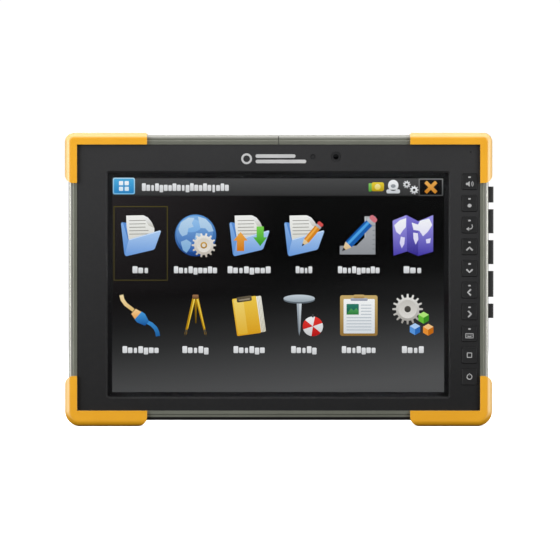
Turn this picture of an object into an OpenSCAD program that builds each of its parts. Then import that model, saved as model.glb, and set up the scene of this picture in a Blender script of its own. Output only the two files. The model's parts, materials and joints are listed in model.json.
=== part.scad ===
// Rugged tablet data collector for surveyors.
// It stands on its lower edge with the screen facing -Y, the back facing +Y and +Z up.
// The origin is under the middle of the tablet, on the surface that it stands on.
// All sizes are in millimetres.

/* [Screen] */
// Width of the lit picture
screen_w = 216; // [180:1:260]
// Height of the lit picture
screen_h = 140; // [130:1:170]
// Bezel between the picture and its left edge
border_left = 22.7; // [18:0.1:30]
// Bezel between the picture and its right edge, which holds the keys
border_right = 23.3; // [22.5:0.1:32]
// Bezel under the picture
border_bottom = 11.9; // [10:0.1:20]
// Bezel over the picture, which holds the camera
border_top = 21.1; // [19:0.1:28]
// Black margin of the glass that shows round the picture
glass_margin = 2.5; // [1.5:0.1:4]
// Width of the sloped edge of the bezel's window
window_slope = 1.5; // [0.5:0.1:2]

/* [Depth] */
// Depth of the body from the rail fronts to the back cover
body_d = 21.5; // [20:0.1:30]
// How far the bumpers stand proud of the rail fronts
guard_front = 1.5; // [0.8:0.1:3]
// How far the bumpers stand proud of the back cover
guard_back = 2; // [1.8:0.1:4]
// How far the bezel lies behind the rail fronts
bezel_set = 0.4; // [0:0.1:0.6]
// Thickness of the bezel's rim
bezel_t = 2.2; // [2:0.1:3]
// Thickness of the bezel where the glass or the keys sit behind it
bezel_lip = 1.4; // [1:0.1:1.5]
// Thickness of the seal under the glass
seal_t = 0.4; // [0.3:0.1:0.6]
// Thickness of the cover glass
glass_t = 1.4; // [1:0.1:2]
// Gap between the cover glass and the display
air_gap = 0.6; // [0.5:0.1:1]
// Thickness of the display panel
display_t = 4; // [3:0.1:5]
// Thickness of the chassis plate
chassis_t = 1.2; // [1:0.1:2]
// Thickness of the back cover
cover_t = 2; // [2:0.1:3]
// Depth of the seal inside the back cover's edge
seal_d = 0.7; // [0.5:0.1:1]

/* [Rails] */
// Width of the side rails as seen from the front
rail_side_w = 5.5; // [5:0.1:8]
// Width of the top and bottom rails as seen from the front
rail_end_w = 6.25; // [6:0.05:8]
// Wall thickness of the rails
rail_wall = 2.8; // [2.4:0.1:3]
// Thickness of the rails' front flange
rail_flange = 2.4; // [2:0.1:2.6]
// Width of the raised inner ledge
rail_ledge = 2.2; // [1.5:0.1:2.5]
// Depth of the step beside the ledge
rail_step = 0.5; // [0.3:0.1:0.8]
// Rounding of the side rails' front edge
rail_side_round = 1.6; // [1:0.1:2]
// Rounding of the top and bottom rails' front edge
rail_end_round = 2.2; // [1:0.1:2.4]
// Gap where the two halves of the top rail meet
rail_split = 0.4; // [0.2:0.1:1]
// Corner radius of the body
body_round = 8; // [5:0.5:10]

/* [Bumpers] */
// How far a bumper stands out past the side rails
guard_side = 2.5; // [2:0.1:5]
// How far a top bumper stands up past the top rail
guard_top = 1.5; // [1:0.1:4]
// How far a bottom bumper reaches below the bottom rail
foot_drop = 4; // [3:0.1:8]
// Length of a bumper's horizontal arm
arm_across = 53.5; // [44:0.5:64]
// Length of a bumper's upright arm
arm_up = 32.8; // [30:0.1:36]
// Width of a bumper's lip on the back, inward from the bezel's edge
lip_back = 12; // [10:0.5:14]
// Corner radius of the top bumpers
bumper_round_top = 6; // [5:0.5:12]
// Corner radius of the bottom bumpers
bumper_round_foot = 10; // [6:0.5:12]
// Rounding of the bumpers' long outer edges
bumper_edge = 4.2; // [2:0.1:5]
// Rounding of the ends of the arms
arm_end_round = 5.5; // [3:0.5:8]

/* [Keys] */
// Number of function keys
key_count = 10; // [6:1:10]
// Width of a key
key_w = 9.8; // [8:0.1:11]
// Height of a key
key_h = 10.6; // [8:0.1:11]
// Distance from the bezel's right edge to the middle of the keys
key_inset = 6.9; // [6.5:0.1:7.5]
// How far the keys stand proud of the bezel
key_proud = 0.4; // [0.2:0.1:0.8]
// Travel of a key
key_travel = 0.5; // [0.3:0.1:0.5]
// Distance from the picture's top down to the middle of the first key
key_top_drop = 3; // [2:0.1:10]
// Distance from the picture's bottom up to the middle of the last key
key_bottom_rise = 10.1; // [4:0.1:16]
// Clearance round a key in its hole
key_gap = 0.2; // [0.15:0.05:0.3]

/* [Side ports] */
// Lengths of the port covers, from the top one down
port_len = [10.3, 15.7, 15.7, 16.9, 9.3];
// Gap between neighbouring port covers
port_gap = 4.45; // [4:0.05:6]
// Height of the first cover's top above the middle of the body
port_top = 59.3; // [50:0.1:60]
// Thickness of a port cover
flap_t = 3.3; // [2.5:0.1:4]
// Gap between a port cover and the panel behind it
flap_gap = 0.6; // [0.5:0.1:1]
// Radius of a cover's hinge knuckle
knuckle_r = 1.5; // [1.4:0.1:1.6]
// Radius of a hinge pin
pin_r = 0.6; // [0.5:0.05:0.7]
// Radial clearance between a hinge pin and its cover
pin_gap = 0.05; // [0.03:0.01:0.1]
// Length of each panel knuckle
panel_knuckle = 1.6; // [1.4:0.1:1.8]

/* [Battery] */
// Width of the battery bay
bay_w = 170; // [140:1:176]
// Height of the battery bay
bay_h = 70; // [56:1:76]
// Height of the bay's lower edge above the body's lower edge
bay_rise = 14; // [14:0.5:18]
// Thickness of the bay's walls
bay_wall = 2; // [1.5:0.1:3]
// Thickness of the bay's floor
bay_floor = 1.5; // [1.2:0.1:2]
// Clearance of the battery pack in its bay
pack_gap = 0.2; // [0.15:0.05:0.4]
// Distance of a captive screw from the pack's end
lock_inset = 9; // [8:0.5:14]
// Radius of a captive screw's head
lock_head_r = 4.2; // [3.5:0.1:5]
// Radius of a captive screw's shank
lock_shank_r = 1.95; // [1.5:0.05:2.5]
// Radial clearance of a captive screw's shank
lock_gap = 0.08; // [0.03:0.01:0.1]

/* [Bracket holes] */
// Distance between the bracket holes across the back
bracket_x = 38.1; // [30:0.1:50]
// Distance between the bracket holes up the back
bracket_z = 30.2; // [20:0.1:36]
// Radius of the tapped holes
bracket_hole_r = 1.65; // [1.2:0.05:2.1]
// Outer radius of the threaded inserts
insert_r = 3; // [2.6:0.1:3.4]
// Length of the threaded inserts
insert_len = 4; // [3:0.1:4.2]
// Height of the pattern's middle above the body's middle
bracket_rise = 36; // [34:0.5:46]

/* [Small parts] */
// Distance of the front camera to the right of the middle
camera_x = 37.3; // [20:0.1:60]
// Distance of the light sensor to the right of the middle
sensor_x = 22.3; // [5:0.1:25]
// Distance of the camera and sensor below the bezel's top edge
camera_drop = 7.9; // [7:0.1:9]
// Radius of the camera's hole in the bezel
camera_hole_r = 3.2; // [2.5:0.1:3.6]
// Shank radius of the cover screws
screw_r = 1.5; // [1:0.05:1.6]
// Head radius of the cover screws
screw_head_r = 2.75; // [2.2:0.05:2.9]
// Clearance between fixed parts that fit into each other
fit = 0.1; // [0.05:0.05:0.2]
// Width of the dock opening
dock_w = 44; // [36:1:60]

/* [Hidden] */
arc_steps = 8;
thin = 0.01;
far = 60;

// Places across the tablet
bezel_w = screen_w + border_left + border_right;
bezel_h = screen_h + border_bottom + border_top;
body_w = bezel_w + 2 * rail_side_w;
body_h = bezel_h + 2 * rail_end_w;
body_z0 = foot_drop;
mid_z = body_z0 + body_h / 2;
bezel_z0 = body_z0 + rail_end_w;
bezel_z1 = bezel_z0 + bezel_h;
screen_x = (border_left - border_right) / 2;
screen_z = bezel_z0 + border_bottom + screen_h / 2;
wall_x = body_w / 2 - rail_wall;
wall_z = body_h / 2 - rail_wall;

// Depths, from the front to the back
total_d = body_d + guard_front + guard_back;
y_front = -total_d / 2;
y_rail = y_front + guard_front;
y_bezel = y_rail + bezel_set;
y_lip = y_bezel + bezel_lip;
y_glass = y_lip + seal_t;
y_glass_back = y_glass + glass_t;
y_display = y_glass_back + air_gap;
y_chassis = y_display + display_t;
y_cavity = y_chassis + chassis_t;
y_back = y_rail + body_d;
y_cover = y_back - cover_t;
y_end = y_back + guard_back;

// Glass, display and the ring of the chassis round them
window_w = screen_w + 2 * glass_margin;
window_h = screen_h + 2 * glass_margin;
glass_w = window_w + 11;
glass_h = window_h + 11;
display_w = screen_w + 12;
display_h = screen_h + 10;
ring_w = display_w + 1;
ring_h = display_h + 1;

// Keys
key_x = bezel_w / 2 - key_inset;
key_z0 = screen_z + screen_h / 2 - key_top_drop;
key_pitch = (screen_h - key_top_drop - key_bottom_rise) / (key_count - 1);
flange_w = key_w + 1.6;
flange_h = key_h + 0.8;
flange_t = 0.6;
y_flange = y_lip + 0.1;
y_dome = y_flange + flange_t + key_travel + 1.2;
dome_t = 0.4;
dome_rise = 0.1;
stem_gap = 0.05;
board_t = 0.8;
key_names = [for (i = [1 : 10]) str("key_", i < 10 ? "0" : "", i)];

// Side ports
port_count = len(port_len);
port_names = ["audio", "usb_upper", "usb_lower", "video", "power"];
socket_sizes = [[7, 6], [13.2, 5.8], [13.2, 5.8], [15, 5.8], [7.6, 6.4]];
panel_y0 = y_cavity + 0.3;
panel_y1 = y_cover - fit;
panel_x0 = wall_x - 2;
panel_x1 = body_w / 2 - 0.2;
recess_d = 1.8;
io_board_y = y_cavity + 0.4;
io_board_t = 1;
io_board_back = io_board_y + io_board_t;
socket_y = io_board_back + 3.2;
socket_len = 16;
socket_x1 = panel_x1 - recess_d - fit;
plug_d = 2.1;
plug_h = 5.9;
plug_y0 = socket_y - plug_h / 2;
recess_y0 = plug_y0 - 0.85;
recess_y1 = plug_y0 + plug_h + 0.4;
flap_x0 = panel_x1 + flap_gap;
flap_x1 = flap_x0 + flap_t;
hinge_x = flap_x0 + knuckle_r;
hinge_y = y_cover - 1;
flap_y0 = plug_y0 - 3.6;
flap_y1 = hinge_y - knuckle_r - 0.2;

// Battery
bay_z0 = body_z0 + bay_rise;
bay_z = bay_z0 + bay_h / 2;
y_bay = y_cavity + 0.7;
y_pack = y_bay + bay_floor + pack_gap;
pack_w = bay_w - 2 * pack_gap;
pack_h = bay_h - 2 * pack_gap;
lock_x = pack_w / 2 - lock_inset;
lock_head_t = 1.8;
lock_head_y = y_back - 0.2 - lock_head_t;

// Boards behind the display
main_z0 = bay_z0 + bay_h + bay_wall + 4;
main_z1 = body_z0 + body_h - 19.5;
main_w = bezel_w - 66;
main_y = y_cavity + 2.6;
main_t = 1.6;
main_back = main_y + main_t;
chip_t = 1.4;

// Screws that hold the back cover
screw_boss_r = 3.6;
screw_head_t = 1.6;
screw_places = [for (side = [-1, 1]) each [
    [side * 70, body_z0 + body_h - 12.5],
    [side * 70, body_z0 + 8],
    [side * (bezel_w / 2 - 7), body_z0 + 44],
    [side * (main_w / 2 + 6), main_z0 + 26]
]];

// Screws that hold the bumpers
bumper_screw_r = 1.2;
bumper_head_r = 2.6;
bumper_head_t = 1.2;
bumper_boss_r = 3;
bumper_screw_inset = 4;

// Bracket pattern, rear camera and speakers
bracket_mid_z = mid_z + bracket_rise;
rear_camera_x = -main_w / 2 + 18;
rear_camera_z = main_z1 - 15;
rear_lens_r = 5;
flash_x = rear_camera_x + 14;
flash_r = 2.5;
speaker_x = bay_w / 2 + bay_wall + 17;
speaker_z = body_z0 + 36;
speaker_w = 22;
speaker_h = 30;
slot_count = 6;
slot_pitch = 3.6;
dock_y = (y_cavity + y_cover) / 2 - 0.9;
dock_d = 7.6;
pad_count = 9;

// ---------- Helpers ----------

// Points of an arc about c, from angle a0 to a1
function arc(c, r, a0, a1) =
    [for (i = [0 : arc_steps]) let (a = a0 + (a1 - a0) * i / arc_steps) c + r * [cos(a), sin(a)]];

// Rectangle with round corners about the origin
function round_rect(w, h, r) = concat(
    arc([w / 2 - r, h / 2 - r], r, 0, 90),
    arc([r - w / 2, h / 2 - r], r, 90, 180),
    arc([r - w / 2, r - h / 2], r, 180, 270),
    arc([w / 2 - r, r - h / 2], r, 270, 360));

function moved(points, offset) = [for (p = points) p + offset];

function sum_to(list, count) = count == 0 ? 0 : list[count - 1] + sum_to(list, count - 1);

// Height of the middle of port i
function port_z(i) = mid_z + port_top - sum_to(port_len, i) - i * port_gap - port_len[i] / 2;

// Height of the middle of key i
function key_z(i) = key_z0 - i * key_pitch;

// An outline in X and Z, filled from depth ya back to yb
module slab(points, ya, yb)
    translate([0, yb, 0])
        rotate([90, 0, 0])
            linear_extrude(yb - ya)
                polygon(points);

// A box between two values on each axis
module block(xa, xb, ya, yb, za, zb)
    translate([xa, ya, za])
        cube([xb - xa, yb - ya, zb - za]);

// A round bar along Y
module bar_y(x, z, r, ya, yb)
    translate([x, yb, z])
        rotate([90, 0, 0])
            cylinder(r = r, h = yb - ya, $fn = 48);

// A round bar along Z
module bar_z(x, y, r, za, zb)
    translate([x, y, za])
        cylinder(r = r, h = zb - za, $fn = 36);

// A round bar along X
module bar_x(y, z, r, xa, xb)
    translate([xa, y, z])
        rotate([0, 90, 0])
            cylinder(r = r, h = xb - xa, $fn = 36);

// A flat ring in X and Z
module ring(outer_w, outer_h, inner_w, inner_h, r, ya, yb)
    difference() {
        slab(round_rect(outer_w, outer_h, r), ya, yb);
        slab(round_rect(inner_w, inner_h, max(r - 1, 0.5)), ya - 1, yb + 1);
    }

module at_screen() translate([screen_x, 0, screen_z]) children();
module at_body() translate([0, 0, mid_z]) children();

// ---------- Front ----------

module front_bezel() color("#343434")
    difference() {
        slab(moved(round_rect(bezel_w - 2 * fit, bezel_h - 2 * fit, 2), [0, bezel_z0 + bezel_h / 2]),
            y_bezel, y_bezel + bezel_t);
        at_screen() {
            hull() {
                slab(round_rect(window_w, window_h, 1), y_lip + 0.5, y_lip + 0.5 + thin);
                slab(round_rect(window_w, window_h, 1), y_lip - 0.4, y_lip - 0.4 + thin);
                slab(round_rect(window_w + 2 * window_slope, window_h + 2 * window_slope, 2),
                    y_bezel - thin, y_bezel);
            }
            slab(round_rect(glass_w + 2 * fit, glass_h + 2 * fit, 2), y_lip, y_lip + 5);
        }
        for (i = [0 : key_count - 1])
            slab(moved(round_rect(key_w + 2 * key_gap, key_h + 2 * key_gap, 1.2), [key_x, key_z(i)]),
                y_bezel - 1, y_lip + 1);
        block(key_x - flange_w / 2 - 0.3, key_x + flange_w / 2 + 0.2, y_lip, y_lip + 5,
            key_z(key_count - 1) - flange_h / 2 - 0.4, key_z(0) + flange_h / 2 + 0.4);
        bar_y(camera_x, bezel_z1 - camera_drop, camera_hole_r, y_bezel - 1, y_bezel + 5);
        bar_y(sensor_x, bezel_z1 - camera_drop, 1.6, y_bezel - 1, y_bezel + 5);
        bar_y(key_x + 0.8, bezel_z1 - 4.9, 0.5, y_bezel - 1, y_bezel + 5);
    }

module glass_seal() color("#181818")
    at_screen() ring(glass_w, glass_h, window_w + 2, window_h + 2, 2, y_lip, y_glass);

module cover_glass() color("#0c0c0e")
    at_screen() slab(round_rect(glass_w, glass_h, 2), y_glass, y_glass_back);

module display_panel() color("#101012")
    at_screen() slab(round_rect(display_w, display_h, 1), y_display, y_chassis);

// ---------- Chassis ----------

module chassis() color("#8d9094")
    difference() {
        union() {
            at_body() {
                slab(round_rect(2 * wall_x - 0.4, 2 * wall_z - 0.4, body_round - rail_wall),
                    y_chassis, y_cavity);
                ring(2 * wall_x - 0.4, 2 * wall_z - 0.4, 2 * wall_x - 4, 2 * wall_z - 4,
                    body_round - rail_wall, y_rail + rail_flange + fit, y_chassis);
            }
            at_screen() ring(ring_w + 4, ring_h + 4, ring_w, ring_h, 2, y_glass_back, y_chassis);
            // Posts for the screws of the back cover and the bumpers
            for (place = screw_places)
                bar_y(place[0], place[1], screw_boss_r, y_cavity - 0.5, y_cover + fit);
            at_body()
                for (side_x = [0, 1], side_z = [0, 1])
                    mirror([side_x, 0, 0])
                        mirror([0, 0, side_z])
                            for (place = bumper_screw_places)
                                bar_y(place[0], place[1], bumper_boss_r, y_cavity - 0.5, y_cover + fit);
            for (side = [-1, 1])
                block(key_x + side * 3 - 0.8, key_x + side * 3 + 0.8, y_dome + dome_t + board_t, y_chassis,
                    key_z(key_count - 1) - 6, key_z(0) + 6);
        }
        for (place = screw_places)
            bar_y(place[0], place[1], screw_r + 0.05, y_chassis - 1, y_cover + 1);
        at_body()
            for (side_x = [0, 1], side_z = [0, 1])
                mirror([side_x, 0, 0])
                    mirror([0, 0, side_z])
                        for (place = bumper_screw_places)
                            bar_y(place[0], place[1], bumper_screw_r + 0.05, y_back - 5, y_cover + 1);
    }

// ---------- Rails ----------

// Section of a rail: distance out from the bezel's edge, then depth
function rail_section(w, edge) = concat(
    [[0, y_rail], [rail_ledge, y_rail], [rail_ledge + rail_step, y_rail + rail_step]],
    arc([w - edge, y_rail + rail_step + edge], edge, 270, 360),
    [[w, y_cover], [w - rail_wall, y_cover],
     [w - rail_wall, y_rail + rail_flange], [0, y_rail + rail_flange]]);

// The corner-to-corner prism that mitres the rails, trimmed to the body's round corners
module rail_zone(points)
    intersection() {
        slab(points, y_rail - 1, y_cover + 1);
        at_body() slab(round_rect(body_w, body_h, body_round), y_rail - 1, y_cover + 1);
    }

module side_rail() color("#74766b")
    intersection() {
        translate([bezel_w / 2, 0, body_z0])
            linear_extrude(body_h)
                polygon(rail_section(rail_side_w, rail_side_round));
        rail_zone([
            [bezel_w / 2, bezel_z0 + 0.2], [body_w / 2, body_z0 + 0.2],
            [body_w / 2, body_z0 + body_h - 0.2], [bezel_w / 2, bezel_z1 - 0.2]]);
    }

module end_rail() color("#74766b")
    intersection() {
        translate([-body_w / 2, 0, bezel_z1])
            rotate([90, 0, 90])
                linear_extrude(body_w)
                    polygon([for (p = rail_section(rail_end_w, rail_end_round)) [p[1], p[0]]]);
        rail_zone([
            [-bezel_w / 2, bezel_z1], [bezel_w / 2, bezel_z1],
            [body_w / 2, body_z0 + body_h], [-body_w / 2, body_z0 + body_h]]);
    }

module rail_left() mirror([1, 0, 0]) side_rail();

module rail_right()
    difference() {
        side_rail();
        block(wall_x - 1, body_w / 2 + 1, panel_y0 - 0.2, y_cover + 1,
            port_z(port_count - 1) - port_len[port_count - 1] / 2 - 2.2, port_z(0) + port_len[0] / 2 + 2.2);
    }

module rail_top(side)
    intersection() {
        end_rail();
        if (side < 0) block(-body_w, -rail_split / 2, -far, far, mid_z, mid_z + body_h);
        else block(rail_split / 2, body_w, -far, far, mid_z, mid_z + body_h);
    }

module rail_bottom()
    difference() {
        translate([0, 0, mid_z]) mirror([0, 0, 1]) translate([0, 0, -mid_z]) end_rail();
        block(-dock_w / 2, dock_w / 2, dock_y - dock_d / 2 - fit, dock_y + dock_d / 2 + fit,
            body_z0 - 1, body_z0 + rail_end_w + 1);
    }

// ---------- Bumpers ----------

outer_x = body_w / 2 + guard_side;

// Section of a bumper that runs along X or Z: round outer edges at reach, open inwards
function guard_section(reach) = concat(
    [[0, y_front]],
    arc([reach - bumper_edge, y_front + bumper_edge], bumper_edge, 270, 360),
    arc([reach - bumper_edge, y_end - bumper_edge], bumper_edge, 0, 90),
    [[0, y_end]]);

// L-shaped outline of a bumper at the right. drop is the reach past the rail and inset the width of the
// lip inside the bezel's edge. It passes the outer sides and is measured from the middle of the body.
function guard_outline(drop, inset) =
    let (
        top = body_h / 2 + drop,
        inner_x = bezel_w / 2 - inset,
        inner_z = bezel_h / 2 - inset,
        start_x = outer_x - arm_across,
        low_z = top - arm_up,
        end_r = min(arm_end_round + 1, 2 * drop - 1.5)
    )
    concat(
        [[start_x, inner_z]],
        arc([start_x + end_r, top - end_r], end_r, 180, 90),
        [[start_x + end_r, top + 1], [outer_x + 1, top + 1], [outer_x + 1, low_z + arm_end_round]],
        arc([outer_x - arm_end_round, low_z + arm_end_round], arm_end_round, 0, -90),
        [[inner_x, low_z], [inner_x, inner_z]]);

// Room of a bumper: round outer edges along both arms and round the corner
module guard_room(top, corner) {
    translate([outer_x - corner - body_w, 0, 0])
        rotate([90, 0, 90])
            linear_extrude(body_w)
                polygon([for (p = guard_section(top)) [p[1], p[0]]]);
    translate([0, 0, top - corner - body_h])
        linear_extrude(body_h)
            polygon(guard_section(outer_x));
    translate([outer_x - corner, 0, top - corner])
        rotate([90, 0, 0])
            rotate_extrude(angle = 90, $fn = 64)
                polygon(guard_section(corner));
}

// Where the two bumper screws of a corner sit, measured from the middle of the body
bumper_screw_places = [
    [outer_x - arm_across + 8, bezel_h / 2 - bumper_screw_inset],
    [bezel_w / 2 - bumper_screw_inset, body_h / 2 - arm_up + 9]];

// Bumper at the right, for the top or mirrored for the bottom
module bumper(drop, corner)
    difference() {
        intersection() {
            union() {
                slab(guard_outline(drop, 0), y_front - 1, 0);
                slab(guard_outline(drop, lip_back), -thin, y_end + 1);
            }
            guard_room(body_h / 2 + drop, corner);
        }
        slab(round_rect(body_w + 2 * fit, body_h + 2 * fit, body_round + fit), y_rail - fit, y_back + fit);
        for (place = bumper_screw_places) {
            bar_y(place[0], place[1], bumper_screw_r + 0.05, 0, far);
            bar_y(place[0], place[1], bumper_head_r + 0.1, y_end - bumper_head_t - 0.1, far);
        }
    }

module top_bumper() color("#eba929") at_body() bumper(guard_top, bumper_round_top);
module bottom_bumper() color("#eba929") at_body() mirror([0, 0, 1]) bumper(foot_drop, bumper_round_foot);

// Screws of all four bumpers
module bumper_screws() color("#3a3a3c")
    at_body()
        for (side_x = [0, 1], side_z = [0, 1])
            mirror([side_x, 0, 0])
                mirror([0, 0, side_z])
                    for (place = bumper_screw_places)
                        difference() {
                            union() {
                                bar_y(place[0], place[1], bumper_head_r,
                                    y_end - 0.1 - bumper_head_t, y_end - 0.1);
                                bar_y(place[0], place[1], bumper_screw_r, y_back - 4.8, y_end - 0.5);
                            }
                            bar_y(place[0], place[1], 1, y_end - 0.9, far);
                        }

// ---------- Back ----------

module back_cover() color("#1d1e20")
    difference() {
        union() {
            at_body()
                hull() {
                    slab(round_rect(body_w, body_h, body_round), y_cover + fit, y_cover + 0.8);
                    slab(round_rect(body_w - 2.4, body_h - 2.4, body_round - 1.2), y_back - thin, y_back);
                }
            // Pad that holds the threaded inserts
            block(-bracket_x / 2 - insert_r - 1.6, bracket_x / 2 + insert_r + 1.6,
                y_back - insert_len - 0.8, y_cover + 1,
                bracket_mid_z - bracket_z / 2 - insert_r - 1.6,
                bracket_mid_z + bracket_z / 2 + insert_r + 1.6);
        }
        block(-bay_w / 2, bay_w / 2, -far, far, bay_z0, bay_z0 + bay_h);
        for (side = [-1, 1], i = [0 : slot_count - 1])
            block(side * speaker_x - 8, side * speaker_x + 8, y_cover - 1, far,
                speaker_z + (i - (slot_count - 1) / 2) * slot_pitch - 0.7,
                speaker_z + (i - (slot_count - 1) / 2) * slot_pitch + 0.7);
        for (place = screw_places) {
            bar_y(place[0], place[1], screw_r + 0.1, y_cover - 1, far);
            bar_y(place[0], place[1], screw_head_r + 0.15, y_back - screw_head_t - 0.2, far);
        }
        at_body()
            for (side_x = [0, 1], side_z = [0, 1])
                mirror([side_x, 0, 0])
                    mirror([0, 0, side_z])
                        for (place = bumper_screw_places)
                            bar_y(place[0], place[1], bumper_screw_r + 0.05, y_cover - 1, far);
        for (side_x = [-1, 1], side_z = [-1, 1])
            bar_y(side_x * bracket_x / 2, bracket_mid_z + side_z * bracket_z / 2, insert_r,
                y_back - insert_len, far);
        bar_y(rear_camera_x, rear_camera_z, rear_lens_r + fit, y_back - 0.9, far);
        bar_y(rear_camera_x, rear_camera_z, 3.6, y_cover - 1, far);
        bar_y(flash_x, rear_camera_z, flash_r + fit, y_cover - 1, far);
    }

module cover_seal() color("#2a2a2c")
    at_body() ring(2 * wall_x - 0.4, 2 * wall_z - 0.4, 2 * wall_x - 2, 2 * wall_z - 2,
        body_round - rail_wall, y_cover - seal_d, y_cover + fit);

module cover_screws() color("#3a3a3c")
    for (place = screw_places)
        difference() {
            union() {
                bar_y(place[0], place[1], screw_head_r, y_back - 0.2 - screw_head_t, y_back - 0.2);
                bar_y(place[0], place[1], screw_r, y_chassis + 0.2, y_back - 1);
            }
            bar_y(place[0], place[1], 1.2, y_back - 1.2, far);
        }

module bracket_inserts() color("#c8a450")
    for (side_x = [-1, 1], side_z = [-1, 1])
        difference() {
            bar_y(side_x * bracket_x / 2, bracket_mid_z + side_z * bracket_z / 2, insert_r,
                y_back - insert_len, y_back);
            bar_y(side_x * bracket_x / 2, bracket_mid_z + side_z * bracket_z / 2, bracket_hole_r,
                y_back - insert_len - 1, y_back + 1);
        }

// ---------- Battery ----------

// Tray that the battery pack sits in
module battery_bay() color("#2a2b2d")
    difference() {
        block(-bay_w / 2 - bay_wall, bay_w / 2 + bay_wall, y_bay, y_cover + fit,
            bay_z0 - bay_wall, bay_z0 + bay_h + bay_wall);
        block(-bay_w / 2, bay_w / 2, y_bay + bay_floor, far, bay_z0, bay_z0 + bay_h);
        for (side = [-1, 1])
            bar_y(side * lock_x, bay_z, lock_shank_r + 0.15, y_bay - 1, y_bay + bay_floor + 1);
        block(-19 - fit, 19 + fit, y_bay + bay_floor + 1, y_bay + bay_floor + 6.2,
            bay_z0 + bay_h - 1, bay_z0 + bay_h + bay_wall + 1);
    }

module battery_pack() color("#26272a")
    difference() {
        block(-pack_w / 2, pack_w / 2, y_pack, y_back, bay_z - pack_h / 2, bay_z + pack_h / 2);
        for (side = [-1, 1]) {
            bar_y(side * lock_x, bay_z, lock_shank_r + lock_gap, y_pack - 1, far);
            bar_y(side * lock_x, bay_z, lock_head_r + 0.3, lock_head_y - 0.05, far);
            // Finger scoops beside the captive screws
            translate([side * (lock_x - 17), y_back + 3, bay_z - 13])
                cylinder(r = 6, h = 26, $fn = 48);
        }
        // Shallow label field
        slab(moved(round_rect(70, 40, 3), [0, bay_z]), y_back - 0.4, far);
    }

module battery_screw(side) color("#9a9ca0")
    difference() {
        union() {
            bar_y(side * lock_x, bay_z, lock_head_r, lock_head_y, lock_head_y + lock_head_t);
            bar_y(side * lock_x, bay_z, lock_shank_r, y_bay + 0.2, lock_head_y + 1);
        }
        block(side * lock_x - 3.2, side * lock_x + 3.2, y_back - 1.1, far, bay_z - 0.6, bay_z + 0.6);
    }

module battery_connector() color("#1a1a1c")
    block(-19, 19, y_bay + bay_floor + 1 + fit, y_bay + bay_floor + 6.2 - fit,
        bay_z0 + bay_h + fit, main_z0 - 0.5);

// ---------- Keys ----------

module key(i) color("#222222")
    union() {
        slab(moved(round_rect(key_w, key_h, 1), [key_x, key_z(i)]), y_bezel - key_proud, y_flange + 0.1);
        slab(moved(round_rect(flange_w, flange_h, 1), [key_x, key_z(i)]), y_flange, y_flange + flange_t);
        bar_y(key_x, key_z(i), 1.4, y_flange, y_dome - dome_rise - stem_gap - key_travel);
    }

module keypad_domes() color("#3c3c40")
    union() {
        block(key_x - 5.5, key_x + 5.3, y_dome, y_dome + dome_t,
            key_z(key_count - 1) - 6, key_z(0) + 6);
        for (i = [0 : key_count - 1])
            bar_y(key_x, key_z(i), 2.2, y_dome - dome_rise, y_dome + 0.1);
    }

module keypad_board() color("#1d5a3a")
    block(key_x - 5.5, key_x + 5.3, y_dome + dome_t, y_dome + dome_t + board_t,
        key_z(key_count - 1) - 6, key_z(0) + 6);

// ---------- Front sensors ----------

module front_camera() color("#0b0b0d")
    let (z = bezel_z1 - camera_drop)
    difference() {
        union() {
            bar_y(camera_x, z, camera_hole_r - 0.2, y_bezel + 0.3, y_lip + 3);
            block(camera_x - 4.2, camera_x + 4.2, y_lip + 2.8, y_chassis, z - 4.2, z + 4.2);
        }
        bar_y(camera_x, z, 1.8, y_bezel - 1, y_bezel + 1.1);
    }

module light_sensor() color("#141418")
    let (z = bezel_z1 - camera_drop)
    union() {
        bar_y(sensor_x, z, 1.4, y_bezel + 0.4, y_lip + 3);
        block(sensor_x - 2.5, sensor_x + 2.5, y_lip + 2.8, y_chassis, z - 2.5, z + 2.5);
    }

module microphone() color("#b9a56a")
    let (z = bezel_z1 - 4.9)
    block(key_x - 1.2, key_x + 2.8, y_bezel + bezel_t, y_bezel + bezel_t + 1.5, z - 1.5, z + 1.5);

// ---------- Side ports ----------

// Outline of the panel along Z
panel_z0 = port_z(port_count - 1) - port_len[port_count - 1] / 2 - 2;
panel_z1 = port_z(0) + port_len[0] / 2 + 2;

module port_panel() color("#2b2c2e")
    difference() {
        union() {
            block(panel_x0, panel_x1, panel_y0, panel_y1, panel_z0, panel_z1);
            for (i = [0 : port_count - 1], end = [-1, 1])
                let (z = port_z(i) + end * (port_len[i] - panel_knuckle) / 2) {
                    bar_z(hinge_x, hinge_y, knuckle_r, z - panel_knuckle / 2, z + panel_knuckle / 2);
                    block(panel_x1 - 0.5, hinge_x, hinge_y - 0.9, hinge_y + 0.8,
                        z - panel_knuckle / 2, z + panel_knuckle / 2);
                }
        }
        for (i = [0 : port_count - 1])
            let (z = port_z(i), half = port_len[i] / 2 - 0.6, socket = socket_sizes[i] / 2) {
                block(panel_x1 - recess_d, panel_x1 + 0.1, recess_y0, recess_y1, z - half, z + half);
                block(panel_x0 - 1, panel_x1, io_board_back - fit, socket_y + socket[1] + fit,
                    z - socket[0] - fit, z + socket[0] + fit);
                bar_z(hinge_x, hinge_y, pin_r + 0.02, z - port_len[i] / 2 - 1, z + port_len[i] / 2 + 1);
            }
        // Ledge under the back cover's seal
        block(panel_x0 - 1, wall_x, y_cover - seal_d, far, panel_z0 - 1, panel_z1 + 1);
    }

module port_hinge_pins() color("#8f9296")
    for (i = [0 : port_count - 1])
        bar_z(hinge_x, hinge_y, pin_r, port_z(i) - port_len[i] / 2, port_z(i) + port_len[i] / 2);

// Section of a port cover across its length
function flap_section() = concat(
    [[flap_x0, flap_y0]],
    arc([flap_x1 - 1.4, flap_y0 + 1.4], 1.4, 270, 360),
    arc([flap_x1 - 0.6, flap_y1 - 0.6], 0.6, 0, 90),
    [[flap_x0, flap_y1]]);

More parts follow.
